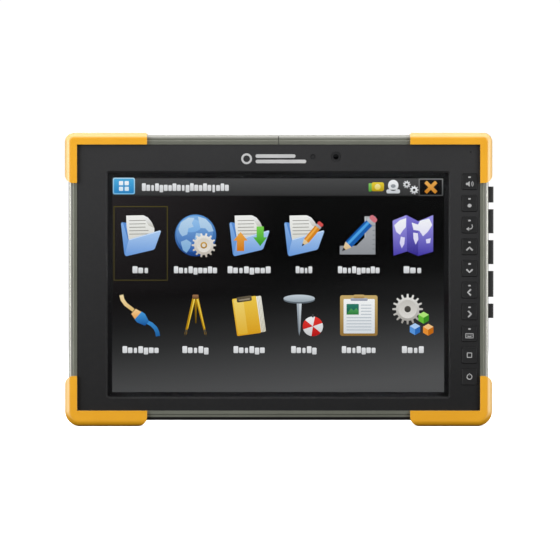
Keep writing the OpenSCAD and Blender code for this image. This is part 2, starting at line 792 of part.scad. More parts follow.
module port_cover(i) color("#2c2c2d")
    let (z = port_z(i), half = port_len[i] / 2, mid = port_len[i] / 2 - panel_knuckle - 0.2)
    difference() {
        union() {
            translate([0, 0, z - half]) linear_extrude(port_len[i]) polygon(flap_section());
            block(flap_x0 - plug_d, flap_x0 + 0.1, plug_y0, plug_y0 + plug_h,
                z - half + 0.9, z + half - 0.9);
            bar_z(hinge_x, hinge_y, knuckle_r, z - mid, z + mid);
            block(flap_x0, hinge_x + 1, flap_y1 - 0.3, hinge_y, z - mid, z + mid);
        }
        bar_z(hinge_x, hinge_y, pin_r + pin_gap, z - half - 1, z + half + 1);
    }

module socket_shell(z, size, depth)
    difference() {
        block(socket_x1 - socket_len, socket_x1, io_board_back, socket_y + size[1] / 2,
            z - size[0] / 2, z + size[0] / 2);
        block(socket_x1 - depth, socket_x1 + 1, socket_y - size[1] / 2 + 0.6, socket_y + size[1] / 2 - 0.6,
            z - size[0] / 2 + 0.6, z + size[0] / 2 - 0.6);
    }

// Tongue that carries the contacts of a flat socket
module socket_tongue(z, size, depth)
    block(socket_x1 - depth - 0.1, socket_x1 - 1.2, socket_y + 0.1, socket_y + 1.5,
        z - size[0] / 2 + 1.6, z + size[0] / 2 - 1.6);

module round_socket(z, size, r)
    difference() {
        block(socket_x1 - socket_len, socket_x1, io_board_back, socket_y + size[1] / 2,
            z - size[0] / 2, z + size[0] / 2);
        bar_x(socket_y, z, r, socket_x1 - 12, socket_x1 + 1);
    }

module port_sockets() color("#a9abae") {
    round_socket(port_z(0), socket_sizes[0], 1.8);
    for (i = [1 : 3]) {
        union() {
            socket_shell(port_z(i), socket_sizes[i], 10);
            socket_tongue(port_z(i), socket_sizes[i], 10);
        }
    }
    union() {
        round_socket(port_z(4), socket_sizes[4], 2.6);
        bar_x(socket_y, port_z(4), 0.9, socket_x1 - 12.1, socket_x1 - 1.5);
    }
}

module io_board() color("#1d5a3a")
    block(socket_x1 - socket_len - 5, panel_x0 - fit, io_board_y, io_board_back, panel_z0, panel_z1);

// ---------- Inside ----------

module main_board() color("#1d5a3a")
    union() {
        difference() {
            block(-main_w / 2, main_w / 2, main_y, main_back, main_z0, main_z1);
            for (place = screw_places)
                bar_y(place[0], place[1], screw_boss_r + 0.3, main_y - 1, main_back + 1);
        }
        // Processor, memory and power chips
        block(-9, 9, main_back - thin, main_back + chip_t, main_z0 + 29, main_z0 + 47);
        for (x = [-36, -24, 18, 30])
            block(x - 4.5, x + 4.5, main_back - thin, main_back + 1, main_z0 + 32, main_z0 + 44);
        for (x = [-62, -50])
            block(x - 4, x + 4, main_back - thin, main_back + 1.8, main_z0 + 36, main_z0 + 44);
        // Posts that stand on the chassis
        for (x = [-main_w / 2 + 6, main_w / 2 - 6], z = [main_z0 + 6, main_z1 - 6])
            bar_y(x, z, 2.5, y_cavity, main_y + 0.1);
    }

module heat_spreader() color("#b56d3c")
    block(-17, 17, main_back + chip_t, main_back + chip_t + 0.8, main_z0 + 18, main_z0 + 56);

module storage_module() color("#20242c")
    union() {
        block(-main_w / 2 + 6, -main_w / 2 + 48, main_back + 0.2, main_back + 1, main_z0 + 5, main_z0 + 27);
        for (x = [-main_w / 2 + 12, -main_w / 2 + 30])
            block(x, x + 13, main_back + 0.9, main_back + 2, main_z0 + 9, main_z0 + 23);
        block(-main_w / 2 + 45, -main_w / 2 + 50, main_back, main_back + 2, main_z0 + 4, main_z0 + 28);
    }

module radio_module() color("#8f9296")
    union() {
        block(44, 74, main_back + 0.2, main_back + 1, main_z0 + 5, main_z0 + 27);
        block(46, 68, main_back + 0.9, main_back + 2.2, main_z0 + 7, main_z0 + 25);
        block(72, 77, main_back, main_back + 2, main_z0 + 4, main_z0 + 28);
    }

module position_antenna() color("#d8d3c4")
    union() {
        block(46, 71, main_back, main_back + 3.5, main_z1 - 28, main_z1 - 3);
        block(49, 68, main_back + 3.4, main_back + 3.7, main_z1 - 25, main_z1 - 6);
    }

module rear_camera() color("#0b0b0d")
    union() {
        block(rear_camera_x - 5, rear_camera_x + 5, main_back, y_cover - 1,
            rear_camera_z - 5, rear_camera_z + 5);
        bar_y(rear_camera_x, rear_camera_z, 3.4, y_cover - 1.1, y_back - 1.1);
        block(flash_x - 2, flash_x + 2, main_back, y_cover - 0.4, rear_camera_z - 2, rear_camera_z + 2);
        block(rear_camera_x, flash_x, main_back, main_back + 0.8, rear_camera_z - 2, rear_camera_z + 2);
    }

module rear_camera_window() color("#15161a")
    bar_y(rear_camera_x, rear_camera_z, rear_lens_r, y_back - 0.9, y_back - 0.1);

module flash_lens() color("#e6e2cc")
    bar_y(flash_x, rear_camera_z, flash_r, y_cover - 0.3, y_back - 0.1);

module speakers() color("#1a1a1c")
    for (side = [-1, 1])
        block(side * speaker_x - speaker_w / 2 + 1, side * speaker_x + speaker_w / 2 - 1,
            y_cover - 4.2, y_cover + 0.05, speaker_z - speaker_h / 2, speaker_z + speaker_h / 2);

module dock_connector() color("#1a1a1c")
    difference() {
        union() {
            block(-dock_w / 2 + fit, dock_w / 2 - fit, dock_y - dock_d / 2, dock_y + dock_d / 2,
                body_z0 + 0.4, body_z0 + 8);
            block(-dock_w / 2 - 2, dock_w / 2 + 2, dock_y - dock_d / 2, dock_y + dock_d / 2,
                body_z0 + rail_wall + fit, body_z0 + rail_wall + 1.6);
        }
        for (i = [0 : pad_count - 1])
            bar_z((i - (pad_count - 1) / 2) * 4, dock_y, 1.1, body_z0 - 1, body_z0 + 4);
    }

module dock_contacts() color("#d9b44a")
    for (i = [0 : pad_count - 1])
        bar_z((i - (pad_count - 1) / 2) * 4, dock_y, 1, body_z0 + 0.6, body_z0 + 4);

// ---------- Nodes ----------

front_bezel();
cover_glass();
glass_seal();
display_panel();
chassis();
back_cover();
cover_seal();
rail_top(-1);  // rail_top_left
rail_top(1);  // rail_top_right
rail_left();
rail_right();
rail_bottom();
mirror([1, 0, 0]) top_bumper();  // bumper_top_left
top_bumper();  // bumper_top_right
mirror([1, 0, 0]) bottom_bumper();  // bumper_bottom_left
bottom_bumper();  // bumper_bottom_right
bumper_screws();
cover_screws();
keypad_domes();
keypad_board();
front_camera();
light_sensor();
microphone();
port_panel();
port_hinge_pins();
port_sockets();
io_board();
main_board();
heat_spreader();
storage_module();
radio_module();
position_antenna();
rear_camera();
rear_camera_window();
flash_lens();
speakers();
bracket_inserts();
dock_connector();
dock_contacts();
battery_connector();
battery_bay();
battery_pack();
battery_screw(-1);  // battery_screw_left
battery_screw(1);  // battery_screw_right
for (i = [0 : key_count - 1])
    key(i);
for (i = [0 : port_count - 1])
    port_cover(i);
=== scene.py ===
import json
import math

import bpy
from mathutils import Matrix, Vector


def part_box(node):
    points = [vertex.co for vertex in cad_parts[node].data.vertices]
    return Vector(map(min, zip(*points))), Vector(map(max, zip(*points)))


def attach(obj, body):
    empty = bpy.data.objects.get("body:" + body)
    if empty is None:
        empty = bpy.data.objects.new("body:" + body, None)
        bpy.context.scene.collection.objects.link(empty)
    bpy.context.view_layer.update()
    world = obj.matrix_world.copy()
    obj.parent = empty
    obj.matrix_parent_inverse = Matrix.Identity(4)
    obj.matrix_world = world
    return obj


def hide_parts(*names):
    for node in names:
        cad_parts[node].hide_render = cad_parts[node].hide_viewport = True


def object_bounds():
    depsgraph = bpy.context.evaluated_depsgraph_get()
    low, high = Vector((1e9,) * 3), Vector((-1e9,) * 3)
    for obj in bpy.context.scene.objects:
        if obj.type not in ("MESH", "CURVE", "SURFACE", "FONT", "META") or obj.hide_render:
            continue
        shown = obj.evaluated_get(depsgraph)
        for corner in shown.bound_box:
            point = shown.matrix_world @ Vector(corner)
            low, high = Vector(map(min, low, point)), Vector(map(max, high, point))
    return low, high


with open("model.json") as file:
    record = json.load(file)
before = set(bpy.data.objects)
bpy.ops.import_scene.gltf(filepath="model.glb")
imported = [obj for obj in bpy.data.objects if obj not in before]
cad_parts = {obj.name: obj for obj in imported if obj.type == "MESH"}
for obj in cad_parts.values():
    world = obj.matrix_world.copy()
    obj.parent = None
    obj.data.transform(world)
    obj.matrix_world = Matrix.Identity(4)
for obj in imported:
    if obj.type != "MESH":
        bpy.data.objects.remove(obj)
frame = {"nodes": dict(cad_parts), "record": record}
nodes = frame["nodes"]
cadLow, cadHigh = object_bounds()

slotOf = {row["node"]: row["material_slot"] for row in frame["record"]["subparts"]}
bodyOf = {node: body for body, members in frame["record"]["behaviour"]["bodies"].items() for node in members}
mm = 0.001


def tint(code):
    # hex code to a linear colour
    parts = [int(code[i:i + 2], 16) / 255 for i in (1, 3, 5)]
    return (*[p / 12.92 if p <= 0.04045 else ((p + 0.055) / 1.055) ** 2.4 for p in parts], 1.0)


def onlySelect(piece):
    bpy.ops.object.select_all(action="DESELECT")
    piece.select_set(True)
    bpy.context.view_layer.objects.active = piece


def editAll(piece):
    onlySelect(piece)
    bpy.ops.object.mode_set(mode="EDIT")
    bpy.ops.mesh.select_all(action="SELECT")


def editFaces(piece, test):
    # edit mode with only the faces that pass the test selected
    onlySelect(piece)
    bpy.ops.object.mode_set(mode="EDIT")
    bpy.ops.mesh.select_mode(type="FACE")
    bpy.ops.mesh.select_all(action="DESELECT")
    bpy.ops.object.mode_set(mode="OBJECT")
    for face in piece.data.polygons:
        face.select = test(face)
    bpy.ops.object.mode_set(mode="EDIT")


def leaveEdit(piece, angle=35):
    bpy.ops.object.mode_set(mode="OBJECT")
    onlySelect(piece)
    bpy.ops.object.shade_smooth_by_angle(angle=math.radians(angle))
    bpy.ops.object.modifier_add(type="WEIGHTED_NORMAL")  # large faces stay flat beside their rounded edges
    piece.modifiers[-1].keep_sharp = True
    piece.modifiers[-1].weight = 100
    bpy.ops.object.modifier_apply(modifier=piece.modifiers[-1].name)


def breakEdges(piece, width):
    onlySelect(piece)
    bpy.ops.object.modifier_add(type="BEVEL")
    bevel = piece.modifiers[-1]
    bevel.width = width * mm
    bevel.segments = 2
    bevel.limit_method = "ANGLE"
    bevel.angle_limit = math.radians(30)
    bevel.miter_outer = "MITER_ARC"
    bpy.ops.object.modifier_apply(modifier=bevel.name)


def settle(piece, name, body, material):
    piece.name = name
    piece.data.name = name
    piece.data.materials.clear()
    piece.data.materials.append(material)
    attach(piece, body)


# shader node groups that several finishes share
def newGroup(name, inputs, outputs):
    group = bpy.data.node_groups.new(name, "ShaderNodeTree")
    for label, value in inputs:
        socket = group.interface.new_socket(label, in_out="INPUT", socket_type="NodeSocketFloat")
        socket.default_value = value
    for label in outputs:
        group.interface.new_socket(label, in_out="OUTPUT", socket_type="NodeSocketFloat")
    return group, group.nodes.new("NodeGroupInput"), group.nodes.new("NodeGroupOutput")


def newMaterial(name):
    material = bpy.data.materials.new(name)
    material.use_nodes = True
    tree = material.node_tree
    return material, tree, tree.nodes["Principled BSDF"]


def objectSpot(tree):
    return tree.nodes.new("ShaderNodeTexCoord").outputs["Object"]


def surfaceNormal(tree):
    return tree.nodes.new("ShaderNodeNewGeometry").outputs["Normal"]


def axesOf(tree, vector):
    node = tree.nodes.new("ShaderNodeSeparateXYZ")
    tree.links.new(vector, node.inputs[0])
    return node.outputs


def mathNode(tree, operation, first, second=None):
    node = tree.nodes.new("ShaderNodeMath")
    node.operation = operation
    for place, value in enumerate((first, second)):
        if value is None:
            continue
        if isinstance(value, (int, float)):
            node.inputs[place].default_value = value
        else:
            tree.links.new(value, node.inputs[place])
    return node.outputs[0]


def remap(tree, value, fromLow, fromHigh, toLow, toHigh):
    node = tree.nodes.new("ShaderNodeMapRange")
    tree.links.new(value, node.inputs["Value"])
    ends = {"From Min": fromLow, "From Max": fromHigh, "To Min": toLow, "To Max": toHigh}
    for label, number in ends.items():
        node.inputs[label].default_value = number
    return node.outputs["Result"]


def noiseNode(tree, scale, detail=2.0, rough=0.5, stretch=None):
    spot = objectSpot(tree)
    if stretch:
        mapping = tree.nodes.new("ShaderNodeMapping")
        mapping.inputs["Scale"].default_value = stretch
        tree.links.new(spot, mapping.inputs["Vector"])
        spot = mapping.outputs["Vector"]
    noise = tree.nodes.new("ShaderNodeTexNoise")
    tree.links.new(spot, noise.inputs["Vector"])
    if isinstance(scale, (int, float)):
        noise.inputs["Scale"].default_value = scale
    else:
        tree.links.new(scale, noise.inputs["Scale"])
    noise.inputs["Detail"].default_value = detail
    noise.inputs["Roughness"].default_value = rough
    return noise.outputs["Fac"]


def buildGrain():
    # pebbled skin of a moulded part: fine cells over a softer ripple
    group, given, result = newGroup("mouldedGrain", [("Scale", 1500.0)], ["Height", "Tone"])
    link = group.links.new
    fine = noiseNode(group, given.outputs["Scale"], 3.0, 0.6)
    cells = group.nodes.new("ShaderNodeTexVoronoi")
    cells.feature = "SMOOTH_F1"
    link(objectSpot(group), cells.inputs["Vector"])
    link(mathNode(group, "MULTIPLY", given.outputs["Scale"], 0.7), cells.inputs["Scale"])
    height = mathNode(group, "ADD", mathNode(group, "MULTIPLY", fine, 0.6),
                      mathNode(group, "MULTIPLY", cells.outputs["Distance"], 0.6))
    link(height, result.inputs["Height"])
    link(remap(group, fine, 0.3, 0.7, 0.0, 1.0), result.inputs["Tone"])
    return group


def buildWear():
    # rubbed edges: where a rounded normal leaves the true one, broken up by noise
    group, given, result = newGroup("rubbedEdges", [("Width", 0.0008), ("Amount", 1.0)], ["Mask"])
    link = group.links.new
    rounded = group.nodes.new("ShaderNodeBevel")
    rounded.samples = 4
    link(given.outputs["Width"], rounded.inputs["Radius"])
    compare = group.nodes.new("ShaderNodeVectorMath")
    compare.operation = "DOT_PRODUCT"
    link(rounded.outputs["Normal"], compare.inputs[0])
    link(surfaceNormal(group), compare.inputs[1])
    edge = remap(group, compare.outputs["Value"], 0.995, 0.86, 0.0, 1.0)
    patches = remap(group, noiseNode(group, 160.0, 4.0, 0.65), 0.45, 0.7, 0.0, 1.0)
    mask = mathNode(group, "MULTIPLY", mathNode(group, "MULTIPLY", edge, patches), given.outputs["Amount"])
    link(mask, result.inputs["Mask"])
    return group


def buildDust():
    # light dust on what faces up, and thin streaks elsewhere
    group, given, result = newGroup("settledDust", [("Amount", 0.3)], ["Mask"])
    upward = remap(group, axesOf(group, surfaceNormal(group))["Z"], 0.1, 1.0, 0.15, 1.0)
    specks = remap(group, noiseNode(group, 420.0, 5.0, 0.7), 0.42, 0.75, 0.0, 1.0)
    mask = mathNode(group, "MULTIPLY", mathNode(group, "MULTIPLY", upward, specks), given.outputs["Amount"])
    group.links.new(mask, result.inputs["Mask"])
    return group


groups = {"grain": buildGrain(), "wear": buildWear(), "dust": buildDust()}


def useGroup(tree, key, values):
    node = tree.nodes.new("ShaderNodeGroup")
    node.node_tree = groups[key]
    for label, value in values.items():
        node.inputs[label].default_value = value
    return node


def mixColour(tree, mask, first, second):
    node = tree.nodes.new("ShaderNodeMix")
    node.data_type = "RGBA"
    tree.links.new(mask, node.inputs["Factor"])
    for place, value in ((6, first), (7, second)):
        if isinstance(value, tuple):
            node.inputs[place].default_value = value
        else:
            tree.links.new(value, node.inputs[place])
    return node.outputs[2]


# where the rails' bare edge with its painted highlight starts, and the painted shade strip along their foot
railLow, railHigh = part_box("rail_left")[0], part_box("rail_top_left")[1]
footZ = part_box("rail_bottom")[0].z
railCuts = {
    "side": -railLow.x - 0.0024, "top": railHigh.z - 0.0024, "foot": footZ + 0.004,
    "back": railLow.y + 0.005, "paintedFootShade": footZ + 0.0023,
}


def railMasks(tree):
    # bare metal at the front of the outer edge, painted lighter as if lit and kept off the foot where it is
    # in shade, and a painted shade strip along the foot
    spot = axesOf(tree, objectSpot(tree))
    outward = mathNode(tree, "ABSOLUTE", spot["X"])
    sideways = remap(tree, outward, railCuts["side"], railCuts["side"] + 0.0002, 0.0, 1.0)
    lifted = remap(tree, spot["Z"], railCuts["foot"], railCuts["foot"] + 0.006, 0.0, 1.0)
    upward = remap(tree, spot["Z"], railCuts["top"], railCuts["top"] + 0.0002, 0.0, 1.0)
    forward = remap(tree, spot["Y"], railCuts["back"] + 0.0004, railCuts["back"], 0.0, 1.0)
    edge = mathNode(tree, "MAXIMUM", mathNode(tree, "MULTIPLY", sideways, lifted), upward)
    shadedFoot = remap(tree, spot["Z"], railCuts["paintedFootShade"], railCuts["paintedFootShade"] - 0.0003, 0.0, 1.0)
    return mathNode(tree, "MULTIPLY", edge, forward), mathNode(tree, "MULTIPLY", shadedFoot, forward)


def paintedSlopeLight(tree, amount):
    # painted highlight: paler where it turns away from the front, as if lit there, and not underneath where
    # no light falls
    facing = axesOf(tree, surfaceNormal(tree))
    slant = mathNode(tree, "ABSOLUTE", facing["Y"])
    pale = remap(tree, slant, 0.992, 0.9, 0.0, amount)
    pale = mathNode(tree, "SUBTRACT", pale, remap(tree, slant, 0.6, 0.15, 0.0, amount * 0.6))
    pale = mathNode(tree, "MULTIPLY", pale, remap(tree, facing["Y"], 0.35, 0.0, 0.3, 1.0))
    return mathNode(tree, "MULTIPLY", pale, remap(tree, facing["Z"], -0.3, 0.0, 0.0, 1.0))


def newFinish(name, look):
    # one maker for the solid finishes; look says how this one differs
    material, tree, shader = newMaterial(name)
    grain = useGroup(tree, "grain", {"Scale": look["grain"]})
    cloud = noiseNode(tree, look.get("cloud", 24.0), 3.0, 0.55)
    blend = remap(tree, cloud, 0.35, 0.65, 0.0, 1.0)
    if look.get("paintedTopLight"):
        # painted light and shade: paler towards the top and darker towards the foot, as if lit from above
        fall = remap(tree, axesOf(tree, objectSpot(tree))["Z"], cadHigh.z, cadLow.z, 0.0, 1.0)
        blend = mathNode(tree, "ADD", mathNode(tree, "MULTIPLY", blend, 0.12),
                         mathNode(tree, "MULTIPLY", fall, 0.88))
    colour = mixColour(tree, blend, tint(look["colour"]), tint(look["shade"]))
    if look.get("fleck"):
        flecks = remap(tree, grain.outputs["Tone"], 0.45, 1.0, 0.0, 0.6)
        colour = mixColour(tree, flecks, colour, tint(look["fleck"]))
    # painted highlight: slopes turned away from the front made paler, not underneath
    if look.get("paintedSlopeColour"):
        colour = mixColour(tree, paintedSlopeLight(tree, look["paintedSlopeAmount"]), colour, tint(look["paintedSlopeColour"]))
    if look.get("worn"):
        wear = useGroup(tree, "wear", {"Width": 0.8 * mm, "Amount": look["wear"]})
        colour = mixColour(tree, wear.outputs["Mask"], colour, tint(look["worn"]))
    # bare metal edge with a painted highlight, then a painted shade strip along the foot
    if look.get("bright"):
        bareAndLitEdge, paintedFootShade = railMasks(tree)
        colour = mixColour(tree, bareAndLitEdge, colour, tint(look["bright"]))
        # painted shade along the rails' foot
        colour = mixColour(tree, paintedFootShade, colour, tint("#232323"))
        tree.links.new(remap(tree, bareAndLitEdge, 0.0, 1.0, look["metal"], 0.6), shader.inputs["Metallic"])
    else:
        shader.inputs["Metallic"].default_value = look.get("metal", 0.0)
    if look.get("dust"):
        dust = useGroup(tree, "dust", {"Amount": look["dust"]})
        colour = mixColour(tree, dust.outputs["Mask"], colour, tint("#b9b2a4"))
    tree.links.new(colour, shader.inputs["Base Color"])
    rough = remap(tree, grain.outputs["Tone"], 0.0, 1.0, look["rough"] - 0.08, look["rough"] + 0.08)
    tree.links.new(rough, shader.inputs["Roughness"])
    height = grain.outputs["Height"]
    if look.get("brushed"):
        height = noiseNode(tree, 900.0, 2.0, 0.5, look["brushed"])
    bump = tree.nodes.new("ShaderNodeBump")
    bump.inputs["Strength"].default_value = 0.6
    bump.inputs["Distance"].default_value = look["depth"] * mm
    tree.links.new(height, bump.inputs["Height"])
    tree.links.new(bump.outputs["Normal"], shader.inputs["Normal"])
    shader.inputs["Specular IOR Level"].default_value = look.get("specular", 0.5)
    shader.inputs["Coat Weight"].default_value = look.get("coat", 0.0)
    shader.inputs["Coat Roughness"].default_value = 0.25
    return material


finishLooks = {
    # bezel: painted light and shade, its colour at the top and its shade at the foot
    "bezelPlastic": {"colour": "#303031", "shade": "#161617", "paintedTopLight": True, "worn": "#5c5c5c", "wear": 0.25,
                     "rough": 0.55, "grain": 1700.0, "depth": 0.035, "cloud": 14.0, "dust": 0.04,
                     "specular": 0.2},
    # bumper: the slope colour is a painted highlight on the slopes turned away from the front
    "bumperRubber": {"colour": "#e8a616", "shade": "#e3a012", "worn": "#f6cd7c", "wear": 0.35, "rough": 0.48,
                     "grain": 1300.0, "depth": 0.05, "cloud": 30.0, "dust": 0.1, "specular": 0.5, "coat": 0.2,
                     "paintedSlopeColour": "#f6d08c", "paintedSlopeAmount": 0.8},
    # rail: bright is the bare edge's metal colour with a painted highlight
    "railPaint": {"colour": "#75776c", "shade": "#6c6e63", "fleck": "#7f8176", "bright": "#a4a49d",
                  "worn": "#b3b3ab", "wear": 0.12, "rough": 0.42, "grain": 2200.0, "depth": 0.02,
                  "metal": 0.35, "dust": 0.1},
    "keyRubber": {"colour": "#151516", "shade": "#121213", "worn": "#2e2e2e", "wear": 0.3, "rough": 0.6,
                  "grain": 2000.0, "depth": 0.03, "specular": 0.35},
    "portRubber": {"colour": "#1f1f20", "shade": "#1a1a1b", "worn": "#3c3c3c", "wear": 0.3, "rough": 0.62,
                   "grain": 1600.0, "depth": 0.05, "dust": 0.1},
    "coverPlastic": {"colour": "#232426", "shade": "#1e1f21", "worn": "#4a4a4b", "wear": 0.4, "rough": 0.6,
                     "grain": 1100.0, "depth": 0.09, "dust": 0.12},
    "panelPlastic": {"colour": "#28292b", "shade": "#222325", "rough": 0.55, "grain": 1500.0, "depth": 0.04},
    "batteryPlastic": {"colour": "#2d2e31", "shade": "#27282b", "worn": "#515256", "wear": 0.4, "rough": 0.5,
                       "grain": 1300.0, "depth": 0.06, "dust": 0.1},
    "modulePlastic": {"colour": "#1a1a1c", "shade": "#141416", "rough": 0.5, "grain": 1800.0, "depth": 0.03},
    "sealRubber": {"colour": "#1c1c1e", "shade": "#161618", "rough": 0.7, "grain": 1500.0, "depth": 0.03},
    "brushedSteel": {"colour": "#a3a6aa", "shade": "#8f9296", "worn": "#d8dadd", "wear": 0.6, "rough": 0.32,
                     "grain": 2600.0, "depth": 0.02, "metal": 1.0, "brushed": (1.0, 1.0, 0.06)},
    "blackSteel": {"colour": "#303032", "shade": "#28282a", "worn": "#8d8d90", "wear": 0.7, "rough": 0.38,
                   "grain": 2600.0, "depth": 0.02, "metal": 0.8},
    "castBrass": {"colour": "#c8a450", "shade": "#b08c3c", "worn": "#ecd28c", "wear": 0.5, "rough": 0.34,
                  "grain": 2600.0, "depth": 0.02, "metal": 1.0},
    "contactGold": {"colour": "#e0bb55", "shade": "#cfa743", "rough": 0.22, "grain": 3000.0, "depth": 0.01,
                    "metal": 1.0},
    "boardGreen": {"colour": "#1d5a3a", "shade": "#174b30", "fleck": "#2c7450", "rough": 0.35, "grain": 900.0,
                   "depth": 0.02},
    "spreaderCopper": {"colour": "#b56d3c", "shade": "#a25d2f", "rough": 0.36, "grain": 2400.0, "depth": 0.02,
                       "metal": 1.0, "brushed": (0.06, 1.0, 1.0)},
    "castMagnesium": {"colour": "#8d9094", "shade": "#7f8286", "rough": 0.5, "grain": 1200.0, "depth": 0.05,
                      "metal": 0.9},
    "antennaCeramic": {"colour": "#d8d3c4", "shade": "#cbc5b4", "rough": 0.55, "grain": 1700.0,
                       "depth": 0.02},
    "markPaint": {"colour": "#b2b2b2", "shade": "#a0a0a0", "rough": 0.5, "grain": 2400.0, "depth": 0.01},
    "badgePaint": {"colour": "#c4c4c4", "shade": "#b2b2b2", "rough": 0.5, "grain": 2400.0, "depth": 0.01},
    "flashPlastic": {"colour": "#ece8d2", "shade": "#dedabf", "rough": 0.25, "grain": 1400.0, "depth": 0.05,
                     "coat": 0.6},
    "labelFilm": {"colour": "#3f4145", "shade": "#3a3c40", "rough": 0.42, "grain": 2600.0, "depth": 0.008},
}
finishes = {name: newFinish(name, look) for name, look in finishLooks.items()}


def newGlass(name, colour, rough, ior):
    material, tree, shader = newMaterial(name)
    shader.inputs["Base Color"].default_value = tint(colour)
    shader.inputs["Transmission Weight"].default_value = 1.0
    shader.inputs["IOR"].default_value = ior
    # faint wipe marks
    smear = remap(tree, noiseNode(tree, 30.0, 4.0, 0.6), 0.4, 0.75, rough, rough + 0.03)
    tree.links.new(smear, shader.inputs["Roughness"])
    return material


finishes["coverGlass"] = newGlass("coverGlass", "#f4f6f8", 0.012, 1.15)  # coated against glare
finishes["lensGlass"] = newGlass("lensGlass", "#4a4d55", 0.02, 1.5)


def newDarkGloss(name):
    # the unlit panel and the printed border under the glass
    material, tree, shader = newMaterial(name)
    speck = remap(tree, noiseNode(tree, 5000.0, 2.0), 0.4, 0.7, 0.0, 1.0)
    tree.links.new(mixColour(tree, speck, tint("#1e1e1f"), tint("#222223")), shader.inputs["Base Color"])
    tree.links.new(remap(tree, speck, 0.0, 1.0, 0.42, 0.46), shader.inputs["Roughness"])
    shader.inputs["Specular IOR Level"].default_value = 0.2
    return material


finishes["darkGloss"] = newDarkGloss("darkGloss")

finishOfSlot = {
    "bezel_plastic": "bezelPlastic", "cover_glass": "coverGlass", "display": "darkGloss",
    "rail_metal": "railPaint", "bumper_rubber": "bumperRubber", "key_rubber": "keyRubber",
    "port_rubber": "portRubber", "cover_plastic": "coverPlastic", "panel_plastic": "panelPlastic",
    "battery_plastic": "batteryPlastic", "steel": "brushedSteel", "black_steel": "blackSteel",
    "brass": "castBrass", "contact_metal": "contactGold", "circuit_board": "boardGreen",
    "copper": "spreaderCopper", "magnesium": "castMagnesium", "seal_rubber": "sealRubber",
    "antenna_ceramic": "antennaCeramic", "lens_glass": "lensGlass", "flash_plastic": "flashPlastic",
    "module_plastic": "modulePlastic",
}
ownFinish = {"microphone": "blackSteel"}
for nodeName, part in nodes.items():
    part.data.materials.clear()
    part.data.materials.append(finishes[ownFinish.get(nodeName, finishOfSlot[slotOf[nodeName]])])
print("finishes ready:", len(finishes))


# framed parts with their edges broken
cleanSettings = {"merge": 0.000002, "flat": math.radians(0.6)}


def mergedCopy(nodeName):
    # a copy of the framed part with its triangles joined, left in edit mode
    piece = bpy.data.objects.new(nodeName + "_soft", nodes[nodeName].data.copy())
    bpy.context.scene.collection.objects.link(piece)
    editAll(piece)
    bpy.ops.mesh.customdata_custom_splitnormals_clear()
    bpy.ops.mesh.remove_doubles(threshold=cleanSettings["merge"])
    return piece


def flatCopy(nodeName):
    piece = mergedCopy(nodeName)
    bpy.ops.mesh.dissolve_limited(angle_limit=cleanSettings["flat"])
    bpy.ops.object.mode_set(mode="OBJECT")
    return piece


def takeOver(piece, nodeName):
    slot = slotOf[nodeName]
    settle(piece, nodeName + "_soft", bodyOf[nodeName], finishes[finishOfSlot[slot]])
    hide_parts(nodeName)


softEdges = {
    "front_bezel": 0.25, "dock_connector": 0.2, "battery_screw_left": 0.2, "battery_screw_right": 0.2,
    "cover_screws": 0.15, "bumper_screws": 0.15, "rail_left": 0.2, "rail_right": 0.2, "rail_top_left": 0.2,
    "rail_top_right": 0.2, "rail_bottom": 0.2, "bumper_top_left": 0.6, "bumper_top_right": 0.6,
    "bumper_bottom_left": 0.6, "bumper_bottom_right": 0.6, "battery_pack": 0.4,
}
for nodeName, width in softEdges.items():
    piece = flatCopy(nodeName)
    breakEdges(piece, width)
    leaveEdit(piece)
    takeOver(piece, nodeName)
print("edges broken on", len(softEdges), "parts")


# function keys: dished caps
keySettings = {"edge": 0.35, "rim": 0.2, "step": 0.35, "dish": 0.16, "near": 0.00001}
keyNames = sorted(name for name in nodes if name.startswith("key_"))


def makeKey(nodeName):
    piece = mergedCopy(nodeName)
    bpy.ops.object.mode_set(mode="OBJECT")
    front, flange = sorted({round(corner.co.y, 6) for corner in piece.data.vertices})[:2]

    def isFront(face):
        return face.center.y < front + keySettings["near"] and face.normal.y < -0.99

    editFaces(piece, lambda face: face.center.y < flange - keySettings["near"])  # the cap, front and sides
    bpy.ops.mesh.dissolve_limited(angle_limit=cleanSettings["flat"])
    bpy.ops.object.mode_set(mode="OBJECT")
    editFaces(piece, isFront)
    bpy.ops.mesh.bevel(offset=keySettings["edge"] * mm, segments=3, affect="EDGES")
    bpy.ops.object.mode_set(mode="OBJECT")
    editFaces(piece, isFront)
    bpy.ops.mesh.inset(thickness=keySettings["rim"] * mm, depth=0)
    bpy.ops.mesh.inset(thickness=keySettings["step"] * mm, depth=0)
    bpy.ops.transform.translate(value=(0, keySettings["dish"] * mm, 0))
    leaveEdit(piece, 50)
    takeOver(piece, nodeName)


for nodeName in keyNames:
    makeKey(nodeName)


# port covers: sunk finger panel on the outside
coverSettings = {"edge": 0.3, "rim": 1.0, "sink": 0.35}
coverNames = [name for name in nodes if name.endswith("_cover") and slotOf[name] == "port_rubber"]


def makePortCover(nodeName):
    piece = flatCopy(nodeName)
    leaveEdit(piece)
    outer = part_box(nodeName)[1].x
    editFaces(piece, lambda face: face.center.x > outer - 0.0001 and face.normal.x > 0.9)
    bpy.ops.mesh.inset(thickness=coverSettings["rim"] * mm, depth=0)
    bpy.ops.transform.translate(value=(-coverSettings["sink"] * mm, 0, 0))
    bpy.ops.object.mode_set(mode="OBJECT")
    breakEdges(piece, coverSettings["edge"])
    leaveEdit(piece)
    takeOver(piece, nodeName)


for nodeName in coverNames:
    makePortCover(nodeName)
print("keys and port covers shaped")


